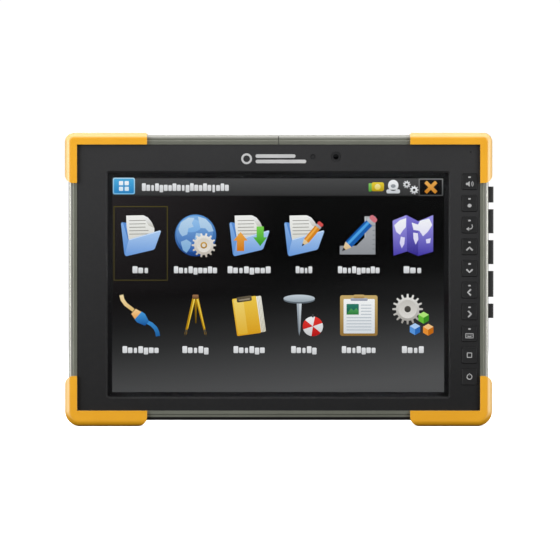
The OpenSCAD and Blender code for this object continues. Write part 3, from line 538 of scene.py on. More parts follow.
# flat outlines, in millimetres as the front is looked at
def ovalPoints(x, z, radiusX, radiusZ=None, count=28, start=0.0, end=360.0):
    radiusZ = radiusX if radiusZ is None else radiusZ
    whole = end - start >= 360
    steps = count if whole else count - 1
    return [(x + radiusX * math.cos(math.radians(start + (end - start) * i / steps)),
             z + radiusZ * math.sin(math.radians(start + (end - start) * i / steps))) for i in range(count)]


def boxPoints(left, low, right, high, corner=0.0):
    if corner <= 0:
        return [(left, low), (right, low), (right, high), (left, high)]
    spots = ((right - corner, low + corner, 270), (right - corner, high - corner, 0),
             (left + corner, high - corner, 90), (left + corner, low + corner, 180))
    return [point for x, z, turn in spots for point in ovalPoints(x, z, corner, None, 5, turn, turn + 90)]


def turned(points, degrees, x=0.0, z=0.0):
    c, s = math.cos(math.radians(degrees)), math.sin(math.radians(degrees))
    return [(x + a * c - b * s, z + a * s + b * c) for a, b in points]


def strokePoints(path, width, endWidth=None):
    # a bent strip of that width along the path
    endWidth = width if endWidth is None else endWidth
    left, right = [], []
    for i, (x, z) in enumerate(path):
        before, after = path[max(i - 1, 0)], path[min(i + 1, len(path) - 1)]
        dx, dz = after[0] - before[0], after[1] - before[1]
        size = math.hypot(dx, dz)
        half = (width + (endWidth - width) * i / (len(path) - 1)) / 2
        left.append((x - dz / size * half, z + dx / size * half))
        right.append((x + dz / size * half, z - dx / size * half))
    return left + right[::-1]


def gearPoints(x, z, outer, inner, teeth):
    points = []
    for i in range(teeth):
        for step, radius in ((-0.24, inner), (-0.14, outer), (0.14, outer), (0.24, inner)):
            turn = 2 * math.pi * (i + step) / teeth
            points.append((x + radius * math.cos(turn), z + radius * math.sin(turn)))
    return points


def cutOut(outlines, thick):
    # a flat curve, holes included, made a closed mesh
    flat = bpy.data.curves.new("outline", "CURVE")
    flat.dimensions = "2D"
    flat.fill_mode = "BOTH"
    flat.extrude = thick / 2
    for points in outlines:
        line = flat.splines.new("POLY")
        line.points.add(len(points) - 1)
        for spot, (x, z) in zip(line.points, points):
            spot.co = (x, z, 0, 1)
        line.use_cyclic_u = True
    piece = bpy.data.objects.new("outline", flat)
    bpy.context.scene.collection.objects.link(piece)
    onlySelect(piece)
    bpy.ops.object.convert(target="MESH")
    piece = bpy.context.object
    editAll(piece)
    bpy.ops.mesh.remove_doubles(threshold=0.0005)
    bpy.ops.mesh.normals_make_consistent(inside=False)
    bpy.ops.object.mode_set(mode="OBJECT")
    return piece


def standUp(piece, x, depth, z):
    # from the drawing's plane to its place on the front, depth in millimetres along Y
    onlySelect(piece)
    piece.rotation_euler = (math.radians(90), 0, 0)
    piece.scale = (mm, mm, mm)
    piece.location = (x * mm, depth * mm, z * mm)
    bpy.ops.object.transform_apply(location=True, rotation=True, scale=True)


def joinPieces(pieces):
    onlySelect(pieces[0])
    for piece in pieces:
        piece.select_set(True)
    bpy.ops.object.join()
    return bpy.context.object


# marks on the keys
markSettings = {"thick": 0.03, "glyphDown": 1.5, "lamp": boxPoints(-0.85, 2.4, 0.85, 3.4, 0.45), "lamps": 8}


def keyGlyph(place):
    # a plain sign for each key, the drawing's middle at the origin
    arrow = strokePoints([(-2.0, -0.9), (-1.0, 0.1), (0, 1.1), (1.0, 0.1), (2.0, -0.9)], 1.0)
    horn = [(-2.3, -0.7), (-1.3, -0.7), (0.1, -1.9), (0.1, 1.9), (-1.3, 0.7), (-2.3, 0.7)]
    waves = [strokePoints(ovalPoints(0.2, 0, r, None, 7, -48, 48), 0.4) for r in (1.3, 2.2)]
    bend = strokePoints([(1.6, 1.8), (1.9, 0.4), (1.2, -0.9), (-0.6, -1.1)], 0.6)
    caps = [boxPoints(x - 0.25, 0.2, x + 0.25, 0.7) for x in (-1.5, -0.5, 0.5, 1.5)]
    signs = {
        1: [horn, *waves],
        2: [ovalPoints(0, 0, 1.3, 1.2)],
        3: [bend, [(-0.4, 0.2), (-0.4, -2.4), (-2.2, -1.1)]],
        4: [arrow],
        5: [turned(arrow, 180)],
        6: [turned(arrow, 90)],
        7: [turned(arrow, -90)],
        8: [boxPoints(-2.6, -1.6, 2.6, 1.6, 0.3), boxPoints(-2.2, -1.2, 2.2, 1.2, 0.1),
            boxPoints(-1.3, -0.8, 1.3, -0.3), *caps],
        9: [boxPoints(-1.7, -1.7, 1.7, 1.7, 0.4), boxPoints(-1.2, -1.2, 1.2, 1.2, 0.2)],
        10: [ovalPoints(0, 0, 1.9), ovalPoints(0, 0, 1.3), boxPoints(-0.25, 0.2, 0.25, 2.4)],
    }
    return signs[place]


def makeKeyMarks(place, nodeName):
    low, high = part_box(nodeName)
    midX, midZ = (low.x + high.x) / 2 / mm, (low.z + high.z) / 2 / mm
    face = low.y / mm + keySettings["dish"]
    outlines = keyGlyph(place)
    if place <= markSettings["lamps"]:
        outlines = [[(x, z - markSettings["glyphDown"]) for x, z in line] for line in outlines]
        outlines.append(markSettings["lamp"])
    piece = cutOut(outlines, markSettings["thick"])
    standUp(piece, midX, face - markSettings["thick"] / 2, midZ)
    leaveEdit(piece)
    settle(piece, nodeName + "_mark", nodeName, finishes["markPaint"])


for place, nodeName in enumerate(keyNames, 1):
    makeKeyMarks(place, nodeName)
print("key marks placed")


# front badge: a plain ring and bars
badgeSettings = {"x": -3.0, "z": 174.0, "thick": 0.08}
ring = [ovalPoints(-17.8, 0, 3.5, 3.5, 40), ovalPoints(-17.8, 0, 2.2, 2.2, 40)]
bars = [boxPoints(-12, 0.6, 14, 2.9, 1.1), boxPoints(-12, -2.9, 21, -0.6, 1.1)]
badge = cutOut(ring + bars, badgeSettings["thick"])
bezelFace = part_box("front_bezel")[0].y / mm
standUp(badge, badgeSettings["x"], bezelFace - badgeSettings["thick"] / 2, badgeSettings["z"])
leaveEdit(badge)
settle(badge, "front_badge", "housing", finishes["badgePaint"])


# picture on the display
pictureSettings = {
    "width": 216.0, "height": 139.8, "x": -0.3, "z": 92.15, "thick": 0.008, "step": 0.014,
    "columns": [-89.8, -54.1, -19.2, 16.5, 52.2, 87.4], "rows": [124.2, 72.2], "labels": [101.7, 49.7],
    "pick": 119.0,
}
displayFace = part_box("display_panel")[0].y / mm
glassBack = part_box("cover_glass")[1].y / mm


def newLitMaterial(name):
    # black when unlit; the colour comes from its emission
    material, tree, shader = newMaterial(name)
    shader.inputs["Base Color"].default_value = (0, 0, 0, 1)
    shader.inputs["Specular IOR Level"].default_value = 0.0
    shader.inputs["Emission Strength"].default_value = 1.0
    return material, tree, shader


def newPaint(name):
    # lit picture: each vertex carries its own colour
    material, tree, shader = newLitMaterial(name)
    shader.inputs["Roughness"].default_value = 0.6
    stored = tree.nodes.new("ShaderNodeAttribute")
    stored.attribute_name = "paint"
    dots = remap(tree, noiseNode(tree, 2600.0, 1.0), 0.3, 0.7, 0.0, 0.06)  # faint sparkle of the display
    sparkled = mixColour(tree, dots, stored.outputs["Color"], (0.0, 0.0, 0.0, 1.0))
    tree.links.new(sparkled, shader.inputs["Emission Color"])
    return material


finishes["litPicture"] = newPaint("litPicture")


def paintShape(piece, top, bottom):
    # even change of colour from the lowest to the highest point
    heights = [corner.co.z for corner in piece.data.vertices]
    low, high = min(heights), max(heights)
    first, last = tint(bottom), tint(top)
    layer = piece.data.attributes.new("paint", "FLOAT_COLOR", "POINT")
    for i, height in enumerate(heights):
        share = (height - low) / max(high - low, 1e-9)
        layer.data[i].color = [a + (b - a) * share for a, b in zip(first, last)]


def drawPicture(name, x, z, shapes, lift=6):
    # shapes: (outlines, top colour, bottom colour), the later ones in front
    drawn = []
    for i, (outlines, top, bottom) in enumerate(shapes):
        piece = cutOut(outlines, pictureSettings["thick"])
        standUp(piece, x, displayFace - (lift + i) * pictureSettings["step"], z)
        paintShape(piece, top, bottom)
        drawn.append(piece)
    settle(joinPieces(drawn), name, "housing", finishes["litPicture"])


def greekLine(left, right, low, size, count):
    # solid blocks of uneven height in place of words
    pitch = (right - left) / count
    rises = (1.0, 0.8, 0.76, 0.98, 0.78, 0.8, 0.76, 0.97, 0.8, 0.76, 0.78)
    blocks = []
    for i in range(count):
        wide = pitch * (0.9, 0.86, 0.6, 0.88, 0.84, 0.9, 0.8)[i % 7]
        start = left + i * pitch + (pitch - wide) / 2
        drop = 0.9 if i % 6 == 4 else 0.0
        high = low + size * rises[i % len(rises)]
        blocks.append(boxPoints(start, low - drop, start + wide, high, min(0.6, wide / 3)))
    return blocks, "#f2f2f2", "#d2d2d2"


def pencil(x, z, degrees, length, wide, body, bodyDark, rubber):
    half, tip, end = wide / 2, wide * 1.15, length / 2
    neck = tip - end
    barrel = boxPoints(neck, -half, end - wide, half)
    stripe = boxPoints(neck, -half * 0.1, end - wide, half * 0.55)
    point = [(-end, 0), (neck, -half), (neck, half)]
    lead = [(-end, 0), (tip * 0.4 - end, -half * 0.4), (tip * 0.4 - end, half * 0.4)]
    band = boxPoints(end - wide, -half, end - wide * 0.6, half)
    cap = boxPoints(end - wide * 0.6, -half, end, half, half * 0.5)
    rows = ((barrel, bodyDark, bodyDark), (stripe, body, body), (point, "#f0d9b0", "#e0c08a"),
            (lead, "#3a3a3a", "#2a2a2a"), (band, "#c9ccd0", "#9da1a6"), (cap, rubber, rubber))
    return [([turned(line, degrees, x, z)], top, bottom) for line, top, bottom in rows]


def folderShapes():
    back = [(-12.8, 7.6), (-12.2, 8.6), (-9.4, 8.2), (8.4, 1.6), (7.6, -9.4), (-9.8, -13.4)]
    sheet = [(-9.4, 12.9), (1.8, 13.1), (4.8, 11.6), (7.2, 8.6), (8.9, 4.8), (8.9, -1.5), (-7.4, -5.5),
             (-9.2, 6)]
    fold = [(1.8, 13.1), (4.8, 11.6), (7.2, 8.6), (8.9, 4.8), (5.2, 6.4), (3.8, 8.6)]
    rows = ((3.2, 9.6), (3.2, 7.4), (3.2, 5.2), (5.2, 3.0), (5.2, 0.8))
    lines = [strokePoints([(-7.4, h), (end, h + 0.2)], 0.45) for end, h in rows]
    front = [(-7.9, -2.9), (-7.1, -2.4), (12.6, 3.3), (13.2, 2.5), (9.2, -8.6), (8.2, -9.4), (-9.3, -13.5),
             (-10.2, -12.9)]
    rim = strokePoints([(-7.6, -2.9), (12.8, 2.9)], 0.5)
    side = [(-12.8, 7.6), (-11.6, 8.4), (-8.2, -2.9), (-9.6, -13.2), (-10.6, -12.2)]
    return [([back], "#5e93d8", "#3c6fb4"), ([sheet], "#fbfaf5", "#dcdad0"), ([fold], "#ffffff", "#c6c3b6"),
            (lines, "#8f8d86", "#8f8d86"), ([side], "#8fb9ee", "#5a90d6"), ([front], "#b3d3f8", "#6f9fe0"),
            ([rim], "#d9eafe", "#d9eafe")]


def upArrow(x, z, wide, tall):
    stem, neck = wide * 0.26, z + tall * 0.05
    return [(x - stem, z - tall / 2), (x + stem, z - tall / 2), (x + stem, neck), (x + wide / 2, neck),
            (x, z + tall / 2), (x - wide / 2, neck), (x - stem, neck)]


def cubeShapes(x, z, size, bright, middle, dark):
    a, b = size * 0.87, size * 0.5
    top = [(x, z + size), (x + a, z + b), (x, z), (x - a, z + b)]
    left = [(x - a, z + b), (x, z), (x, z - size), (x - a, z - b)]
    right = [(x + a, z + b), (x, z), (x, z - size), (x + a, z - b)]
    return [([top], bright, bright), ([left], middle, middle), ([right], dark, dark)]


def globeShapes():
    lands = [[(-11.2, 4.2), (-9.2, 8.6), (-4.6, 11.6), (-0.6, 11.4), (-2.4, 8), (-1.2, 5.6), (-4.6, 4.6),
              (-5.4, 0.6), (-8.6, -0.6), (-10.2, 1.4)],
             [(1.6, 12.2), (6.6, 10.8), (10.2, 7), (11.8, 2.8), (8.6, 2.2), (6.4, 4.6), (3.2, 4.8),
              (2.4, 8.2)],
             [(-9.6, -4.2), (-5.8, -2.6), (-2.6, -4.8), (-3.6, -8.2), (-5.8, -11.4), (-8.2, -9.6)],
             [(0.4, 1.6), (3.4, 1.2), (4.6, -1.8), (2.4, -4.8), (-0.6, -2.4)]]
    return [([ovalPoints(0, 0, 13.4, 13.6, 48)], "#5f9bdc", "#173f86"),
            ([ovalPoints(-0.6, 0.9, 11.9, 11.9, 44)], "#86b8ea", "#2a5fae"),
            ([ovalPoints(-3.2, 6.4, 7.2, 4.4)], "#9cc8f2", "#7db2e8"), (lands, "#c3def4", "#7fb0dc"),
            ([gearPoints(5.4, -6.4, 7.9, 6.3, 14)], "#f7f2ea", "#c4b9ab"),
            ([ovalPoints(5.4, -6.4, 4.6)], "#ded6ca", "#efe9df"),
            ([ovalPoints(5.4, -6.4, 2.2), ovalPoints(5.4, -6.4, 1.2)], "#d7a94c", "#a67a26")]


def squareShapes():
    plate = [(3.8, 12.4), (10.8, 12.4), (10.8, -12.4), (-12.4, -12.4), (-12.4, -6.8), (-1.6, -6.8),
             (3.8, -1.4)]
    ticks = [boxPoints(9.0, h, 10.8, h + 0.4) for h in (-9, -6, -3, 0, 3, 6, 9)]
    return [([plate], "#b4b6b9", "#94969a"), ([boxPoints(3.8, -1.4, 4.4, 12.4)], "#d6d7d9", "#c0c1c4"),
            (ticks, "#74767a", "#74767a"), *pencil(-0.2, 0.8, 46, 31, 5.4, "#4fa6ea", "#1b5fae", "#d97a82")]


def mapShapes():
    tops = [(-13.2, 9.6), (-4.2, 13.2), (3.6, 9.2), (13.2, 13.2)]
    lows = [(-12.6, -13.2), (-3.8, -10.4), (3.4, -13.4), (13.2, -10.6)]
    tones = (("#a79fee", "#4a3fae"), ("#8177d8", "#33288c"), ("#a49cf0", "#4136a6"))
    panels = [([[tops[i], tops[i + 1], lows[i + 1], lows[i]]], *tones[i]) for i in range(3)]
    lands = [[(-12.2, 6.6), (-8.4, 10), (-4.4, 11.2), (-4.6, 5.4), (-6.4, 3.4), (-8.4, 0.4), (-10.8, 2.2)],
             [(-7.8, -0.8), (-5.2, -1.4), (-5.6, -5.6), (-7.2, -8.4), (-8.6, -5)],
             [(-0.8, 8.4), (3.2, 7), (4.8, 9.6), (10.6, 11), (12.6, 6.8), (9.8, 2.4), (6.6, -0.6), (4.2, 3),
              (0.4, 3.6)],
             [(0.2, 1.8), (3.2, 1.4), (3.6, -2.6), (1.8, -6), (0.4, -2.2)],
             [(8.4, -2.6), (11.6, -1.8), (11.2, -5), (8.8, -5.2)]]
    return panels + [(lands, "#ffffff", "#dcd6fa")]


def cableShapes():
    cream = [(-12.6, 13.2), (-11.8, 10), (-9.6, 7), (-6.4, 4.6), (-4.6, 3.2)]
    blue = [(4.2, -4.4), (7.2, -6), (9.6, -8.4), (10.8, -11), (11.2, -13.6)]
    plug = [(-4.4, -2.2), (0.6, -3.4), (0.6, 3.4), (-4.4, 2.2)]
    socket = [(-0.4, -3.4), (2.2, -3.8), (7.4, -1.9), (7.4, 1.9), (2.2, 3.8), (-0.4, 3.4)]
    plug, socket = turned(plug, -42, -1.4, -0.4), turned(socket, -42, -1.4, -0.4)
    return [([strokePoints(cream, 2.6, 2.2)], "#fbe3ae", "#e6bf74"), ([plug], "#ffd79a", "#ee9c3c"),
            ([strokePoints(blue, 2.4, 2.8)], "#3f93d8", "#1f5f9e"), ([socket], "#4aa0e2", "#165298")]


def tripodShapes():
    middle = strokePoints([(0.1, 9.6), (0.2, -5.2)], 1.5, 0.9)
    shapes = [([middle], "#a67c16", "#5e460c")]
    for side in (-1, 1):
        leg = strokePoints([(side * 0.9, 11.4), (side * 6.6, -12.4)], 2.1, 1.3)
        shine = strokePoints([(side * 0.9 + 0.3, 11.0), (side * 5.5 + 0.4, -8.6)], 0.8, 0.5)
        foot = strokePoints([(side * 5.9, -9.4), (side * 7.0, -13.8)], 1.5, 0.5)
        shapes += [([leg], "#c99a18", "#a87a10"), ([shine], "#fbe060", "#f0c22c"),
                   ([foot], "#5c5240", "#332d22")]
    return shapes + [([boxPoints(-2.0, 10.6, 2.0, 13.4, 0.7)], "#a77a52", "#5f4128")]


def notebookShapes():
    pages = turned(boxPoints(-7.4, -12, 9.4, 11.6, 0.8), 8)
    cover = turned(boxPoints(-9.6, -12.4, 6.2, 12, 0.8), 8)
    glow = turned(boxPoints(-8.8, -11.6, -2.4, 11.2, 0.6), 8)
    edges = [turned(boxPoints(h, -12, h + 0.3, 11.6), 8) for h in (6.9, 7.8, 8.7)]
    clip = turned(boxPoints(-6.6, 9.2, 3.2, 12.6, 0.8), 8)
    return [([pages], "#fdfaf0", "#e2dcc8"), (edges, "#bdb79f", "#a8a28a"), ([cover], "#f6ce4c", "#dfa01e"),
            ([glow], "#fadb72", "#e9b636"), ([clip], "#6e6350", "#3c362c"),
            ([turned(boxPoints(-5.4, 10, 2, 11, 0.4), 8)], "#a89c84", "#8c816c")]


def stakeShapes():
    ball = ovalPoints(5.8, -7.2, 6.6, 6.4, 36)
    wedges = [[(5.8, -7.2)] + ovalPoints(5.8, -7.2, 6.6, 6.4, 8, a, a + 58) for a in (20, 140, 262)]
    spike = [(-4.8, 10.6), (-1.4, 10.6), (-2.4, -10.4), (-3.1, -13.4), (-3.8, -10.4)]
    return [([spike], "#b9c3cb", "#5d666d"),
            ([[(-3, 10.6), (-1.4, 10.6), (-2.4, -10.4), (-3.1, -13.4)]], "#dfe6ea", "#878f96"),
            ([ovalPoints(-3.1, 10.2, 10.2, 2.6, 32)], "#7c868e", "#5c656c"),
            ([ovalPoints(-3.1, 11, 10.2, 2.4, 32)], "#cfd9e0", "#9aa6ae"),
            ([ball], "#fafafa", "#cfcfcf"), (wedges, "#ee3b32", "#b91a1a"),
            ([boxPoints(5.2, -1.4, 6.4, 0.6, 0.3)], "#4a4a4a", "#3a3a3a")]


def clipboardShapes():
    lines = [boxPoints(-8, h, 8.2, h + 0.45) for h in (-9.8, -7.8, -5.8, -3.8, -1.8)]
    lines += [boxPoints(1.4, h, 8.2, h + 0.45) for h in (0.4, 2.4, 4.4, 6.4)]
    hills = [(-8, 0.9), (-5, 4.6), (-3.4, 3), (-1.6, 4.8), (0, 2.6), (0, 0.4), (-8, 0.4)]
    return [([boxPoints(-12.2, -13.4, 12.2, 13, 1.4)], "#cdae6e", "#97733a"),
            ([boxPoints(-9.9, -11.8, 10.4, 10.6, 0.6)], "#fdfdfb", "#dfe3e6"), (lines, "#aab4bd", "#aab4bd"),
            ([boxPoints(-8, 0.4, 0, 7.4, 0.5)], "#2f7f6a", "#1f5c48"),
            ([hills], "#58a860", "#2f7a3c"),
            ([boxPoints(-5.4, 9.4, 5.8, 11.2, 0.8)], "#b9bdc9", "#8a8fa0"),
            ([boxPoints(-3.4, 11, 3.6, 13.4, 0.7)], "#d8b878", "#a8844a")]


def toolsShapes():
    gear = [([gearPoints(-3.4, 4, 9.9, 7.6, 16)], "#efece6", "#9f9a92"),
            ([ovalPoints(-3.4, 4, 6)], "#c9c5bd", "#e6e2db"),
            ([ovalPoints(-3.4, 4, 2.1)], "#55524c", "#3c3a36")]
    return [*gear, *cubeShapes(7, -1.6, 3.9, "#b6ee7c", "#6cc23c", "#3f9226"),
            *cubeShapes(1.4, -9, 3.9, "#b4d6fa", "#5e9ae0", "#2f6cb8"),
            *cubeShapes(10, -9.4, 3.9, "#fbc98a", "#ee9438", "#c46c1a")]


pictureLeft = pictureSettings["x"] - pictureSettings["width"] / 2
pictureRight = pictureSettings["x"] + pictureSettings["width"] / 2
pictureLow = pictureSettings["z"] - pictureSettings["height"] / 2
pictureTop = pictureSettings["z"] + pictureSettings["height"] / 2
wallpaperSettings = {
    "depth": 0.03, "thick": 0.02, "tilt": 0.16, "corner": "#2b2728",
    "stops": ((0.0, "#0c0c0c"), (0.36, "#030303"), (0.5, "#0c0c0c"), (0.62, "#1f1f1f"), (0.73, "#2f2f2f"),
              (0.85, "#424242"), (1.0, "#535353")),
}


def makeWallpaper():
    # a thin slab with a glow that rises towards its foot, and a paler upper left corner
    bpy.ops.object.select_all(action="DESELECT")
    middle = (pictureSettings["x"], displayFace - wallpaperSettings["depth"], pictureSettings["z"])
    bpy.ops.mesh.primitive_cube_add(size=1, location=Vector(middle) * mm)
    piece = bpy.context.object
    size = (pictureSettings["width"], wallpaperSettings["thick"], pictureSettings["height"])
    piece.scale = Vector(size) * mm
    bpy.ops.object.transform_apply(location=True, rotation=True, scale=True)
    editAll(piece)
    bpy.ops.mesh.subdivide(number_cuts=3)
    bpy.ops.object.mode_set(mode="OBJECT")
    material, tree, shader = newLitMaterial("litWallpaper")
    spot = axesOf(tree, objectSpot(tree))
    across = remap(tree, spot["X"], pictureLeft * mm, pictureRight * mm, -0.5, 0.5)
    down = remap(tree, spot["Z"], pictureTop * mm, pictureLow * mm, 0.0, 1.0)
    slide = mathNode(tree, "ADD", down, mathNode(tree, "MULTIPLY", across, wallpaperSettings["tilt"]))
    glow = tree.nodes.new("ShaderNodeValToRGB")
    tree.links.new(slide, glow.inputs["Fac"])
    first, *between, last = wallpaperSettings["stops"]
    for stop, (position, code) in zip(glow.color_ramp.elements, (first, last)):
        stop.position, stop.color = position, tint(code)
    for position, code in between:
        glow.color_ramp.elements.new(position).color = tint(code)
    corner = mathNode(tree, "MULTIPLY", remap(tree, across, -0.5, 0.0, 1.0, 0.0),
                      remap(tree, down, 0.0, 0.75, 1.0, 0.0))
    colour = mixColour(tree, corner, glow.outputs["Color"], tint(wallpaperSettings["corner"]))
    tree.links.new(colour, shader.inputs["Emission Color"])
    settle(piece, "screen_wallpaper", "housing", material)


def makeTitleBar():
    barLow, barHigh, middle = pictureTop - 12.2, pictureTop - 0.8, pictureTop - 6.5
    left, right = pictureLeft + 0.4, pictureRight - 0.6
    drawPicture("screen_title_bar", 0, 0, [
        ([boxPoints(left, barLow, right, barHigh)], "#4c4c4c", "#363636"),
        ([boxPoints(left, barLow, right, barLow + 0.5)], "#2a2a2a", "#2a2a2a")], 4)
    drawPicture("screen_home_badge", pictureLeft + 7.6, middle + 0.8, [
        ([boxPoints(-7.2, -5.4, 7.2, 5.4, 1.2)], "#b9dff2", "#7fc0e6"),
        ([boxPoints(-6.5, -4.7, 6.5, 4.7, 0.9)], "#4fb0e2", "#2b86c4"),
        ([boxPoints(x, z, x + 2.7, z + 2.7, 0.4) for x in (-3.2, 0.5) for z in (-3.2, 0.5)],
         "#ffffff", "#d8eefa")])
    words = greekLine(pictureLeft + 19.2, pictureLeft + 76, middle - 2.4, 5.0, 20)
    drawPicture("screen_title", 0, 0, [words])
    figure = [ovalPoints(74.6, middle + 1.2, 3.4, 3.6), boxPoints(70.2, middle - 4, 79, middle - 1.4, 1)]
    drawPicture("screen_status", 0, 0, [
        ([boxPoints(60.4, middle - 2.6, 68.6, middle + 3.2, 1.4)], "#f2d63c", "#b99a14"),
        ([boxPoints(58.6, middle - 2.8, 60.6, middle + 2.6, 0.5)], "#8fd06a", "#4f9a34"),
        ([ovalPoints(64.4, middle + 0.2, 1.9)], "#f9f0b0", "#e8cf4a"), (figure, "#ffffff", "#cfd2d4"),
        ([ovalPoints(74.6, middle + 0.8, 1.6, 1.2)], "#9ea4a8", "#8a9094"),
        ([gearPoints(83.4, middle + 1.8, 2.6, 1.9, 9)], "#f2f2f2", "#c4c4c4"),
        ([gearPoints(88.2, middle - 1.8, 2.9, 2.1, 9)], "#ffffff", "#cccccc"),
        ([ovalPoints(83.4, middle + 1.8, 0.8), ovalPoints(88.2, middle - 1.8, 0.9)], "#3a3a3a", "#3a3a3a")])
    first, second = [turned(boxPoints(-4.9, -1.15, 4.9, 1.15, 0.4), turn) for turn in (45, -45)]
    drawPicture("screen_close_box", pictureRight - 8.6, middle, [
        ([boxPoints(-8, -5.7, 8, 5.7, 0.8), boxPoints(-7.2, -4.9, 7.2, 4.9, 0.5)], "#7d7d7d", "#4b4b4b"),
        ([boxPoints(-7.2, -4.9, 7.2, 4.9, 0.5)], "#171717", "#0a0a0a"),
        ([first], "#f2b052", "#c97c1e"), ([second], "#f4b65c", "#cf8424")])


def makeIcons():
    columns, rows, labels = (pictureSettings[key] for key in ("columns", "rows", "labels"))
    pick = [boxPoints(-17.6, -24.2, 17.6, 24.2), boxPoints(-17.1, -23.7, 17.1, 23.7)]
    drawPicture("screen_pick_frame", columns[0], pictureSettings["pick"], [(pick, "#57501f", "#4e4722")], 5)
    arrows = [([upArrow(-5.6, -4, 9.2, 12.4)], "#f8b04a", "#d57a18"),
              ([turned(upArrow(0, 0, 9, 12.8), 180, 7.2, -0.6)], "#7cd850", "#2f9a28")]
    notePencil = pencil(5, 0.6, 50, 20, 4.0, "#f8b24c", "#dd8a24", "#d9534f")
    # title, shapes, and the width and number of blocks in the words below
    icons = [
        ("folder", folderShapes(), 11, 3), ("globe", globeShapes(), 28.4, 9),
        ("transfer", folderShapes() + arrows, 28.3, 8), ("note", folderShapes() + notePencil, 11, 4),
        ("square", squareShapes(), 27.4, 9), ("map", mapShapes(), 12.4, 3), ("cable", cableShapes(), 24, 7),
        ("tripod", tripodShapes(), 17.4, 5), ("notebook", notebookShapes(), 20.6, 6),
        ("stake", stakeShapes(), 16.9, 5), ("clipboard", clipboardShapes(), 22.4, 7),
        ("tools", toolsShapes(), 14.6, 4)]
    for place, (title, shapes, wide, count) in enumerate(icons):
        row, column = divmod(place, len(columns))
        drawPicture("screen_icon_" + title, columns[column], rows[row], shapes)
        drawPicture("screen_label_" + title, columns[column], labels[row],
                    [greekLine(-wide / 2, wide / 2, -2.1, 4.5, count)])


def makeBorder():
    # dark frame printed behind the glass
    settings = {"side": 7.5, "low": 15.4, "high": 169, "corner": 1.5, "thick": 0.02, "gap": 0.03}
    outline = boxPoints(pictureLeft - settings["side"], settings["low"], pictureRight + settings["side"],
                        settings["high"], settings["corner"])
    opening = boxPoints(pictureLeft, pictureLow, pictureRight, pictureTop)
    border = cutOut([outline, opening], settings["thick"])
    standUp(border, 0, glassBack + settings["gap"], 0)
    settle(border, "screen_border", "housing", finishes["darkGloss"])


makeWallpaper()
makeTitleBar()
makeIcons()
makeBorder()
print("picture drawn")


# lens of the front camera
def makeEye():
    # a shallow dome: half a ball pressed flat
    settings = {"inset": 0.3, "radius": 1.75, "rise": 0.55}
    low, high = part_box("front_camera")
    bpy.ops.object.select_all(action="DESELECT")
    bpy.ops.mesh.primitive_uv_sphere_add(segments=40, ring_count=20, radius=settings["radius"] * mm,
                                         location=(0, 0, 0))
    piece = bpy.context.object
    editAll(piece)
    bpy.ops.mesh.bisect(plane_co=(0, 0, 0), plane_no=(0, 1, 0), use_fill=True, clear_outer=True)
    bpy.ops.object.mode_set(mode="OBJECT")
    piece.scale = (1, settings["rise"] / settings["radius"], 1)
    piece.location = ((low.x + high.x) / 2, low.y + (settings["inset"] + settings["rise"]) * mm,
                      (low.z + high.z) / 2)
    bpy.ops.object.transform_apply(location=True, rotation=True, scale=True)
    leaveEdit(piece, 40)
    settle(piece, "front_eye", "housing", finishes["lensGlass"])


makeEye()


# label on the battery
labelSettings = {"width": 66.0, "height": 36.0, "corner": 2.2, "thick": 0.15, "sink": 0.4}
packLow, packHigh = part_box("battery_pack")
halfWidth, halfHeight = labelSettings["width"] / 2, labelSettings["height"] / 2
labelSheet = cutOut([boxPoints(-halfWidth, -halfHeight, halfWidth, halfHeight, labelSettings["corner"])],
                    labelSettings["thick"])
standUp(labelSheet, 0, packHigh.y / mm - labelSettings["sink"] + labelSettings["thick"] / 2,
        (packLow.z + packHigh.z) / 2 / mm)
settle(labelSheet, "battery_label", "battery_pack", finishes["labelFilm"])
print("small pieces placed")


# floor, light and camera
stageSettings = {
    "floorRadius": 8.0, "skyFill": 0.26, "lens": 260.0, "distance": 2.629, "lift": 0.5,
    "aim": (0.0009, -0.011, 0.0952),
}
bpy.ops.object.select_all(action="DESELECT")
bpy.ops.mesh.primitive_circle_add(vertices=96, radius=stageSettings["floorRadius"], fill_type="NGON")
floor = bpy.context.object
floor.name = "floor"
floorPaint, floorTree, floorShader = newMaterial("floorPaint")
floorShader.inputs["Roughness"].default_value = 0.7
floorShader.inputs["Specular IOR Level"].default_value = 0.0
floorShader.inputs["Emission Color"].default_value = (1.0, 1.0, 1.0, 1.0)
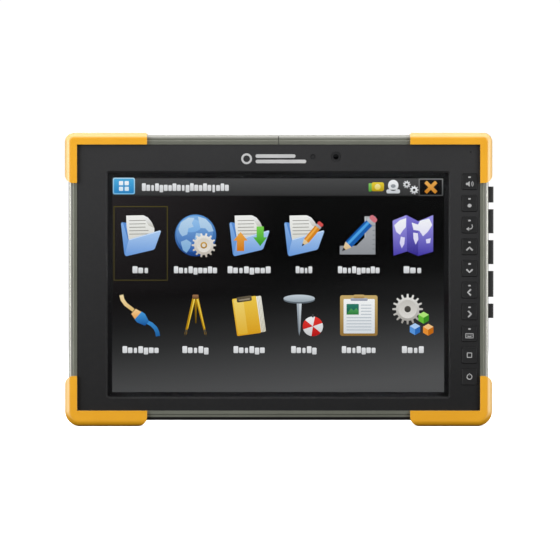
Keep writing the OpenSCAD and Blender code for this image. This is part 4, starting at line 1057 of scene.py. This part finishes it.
# white to the camera, a dull grey to what stands on it
seen = floorTree.nodes.new("ShaderNodeLightPath").outputs["Is Camera Ray"]
floorColour = mixColour(floorTree, seen, tint("#2e2e2e"), tint("#ececec"))
floorTree.links.new(floorColour, floorShader.inputs["Base Color"])
floorTree.links.new(mathNode(floorTree, "MULTIPLY", seen, 0.86), floorShader.inputs["Emission Strength"])
floor.data.materials.append(floorPaint)

scene = bpy.context.scene
sky = bpy.data.worlds.new("studio")
scene.world = sky
sky.use_nodes = True
skyTree = sky.node_tree
skyLight = skyTree.nodes["Background"]
skyLight.inputs["Color"].default_value = (1.0, 1.0, 1.0, 1.0)
skySeen = skyTree.nodes.new("ShaderNodeLightPath").outputs["Is Camera Ray"]
skyPower = remap(skyTree, skySeen, 0.0, 1.0, stageSettings["skyFill"], 1.02)
skyTree.links.new(skyPower, skyLight.inputs["Strength"])


def addLight(name, place, aim, size, power):
    lamp = bpy.data.lights.new(name, "AREA")
    lamp.shape = "RECTANGLE"
    lamp.size, lamp.size_y = size
    lamp.energy = power
    holder = bpy.data.objects.new(name, lamp)
    scene.collection.objects.link(holder)
    holder.location = place
    holder.rotation_euler = (Vector(aim) - Vector(place)).to_track_quat("-Z", "Y").to_euler()


addLight("topLight", (0, -0.2, 0.8), (0, 0, 0.18), (1.2, 0.8), 5)
addLight("leftLight", (-0.95, -0.6, 0.14), (-0.1, 0, 0.08), (0.6, 0.6), 13.5)
addLight("rightLight", (0.95, -0.6, 0.14), (0.1, 0, 0.08), (0.6, 0.6), 11.5)
addLight("backLight", (-0.3, 1.4, 0.9), (0, 0, 0.1), (1.2, 0.9), 16)

eye = bpy.data.cameras.new("camera")
eye.lens = stageSettings["lens"]
eye.clip_start, eye.clip_end = 0.05, 40
viewer = bpy.data.objects.new("camera", eye)
scene.collection.objects.link(viewer)
lift = math.radians(stageSettings["lift"])
aim = Vector(stageSettings["aim"])
viewer.location = aim + Vector((0, -math.cos(lift), math.sin(lift))) * stageSettings["distance"]
viewer.rotation_euler = (aim - viewer.location).to_track_quat("-Z", "Y").to_euler()
scene.camera = viewer
scene.view_settings.view_transform = "Standard"

print("scene ready")
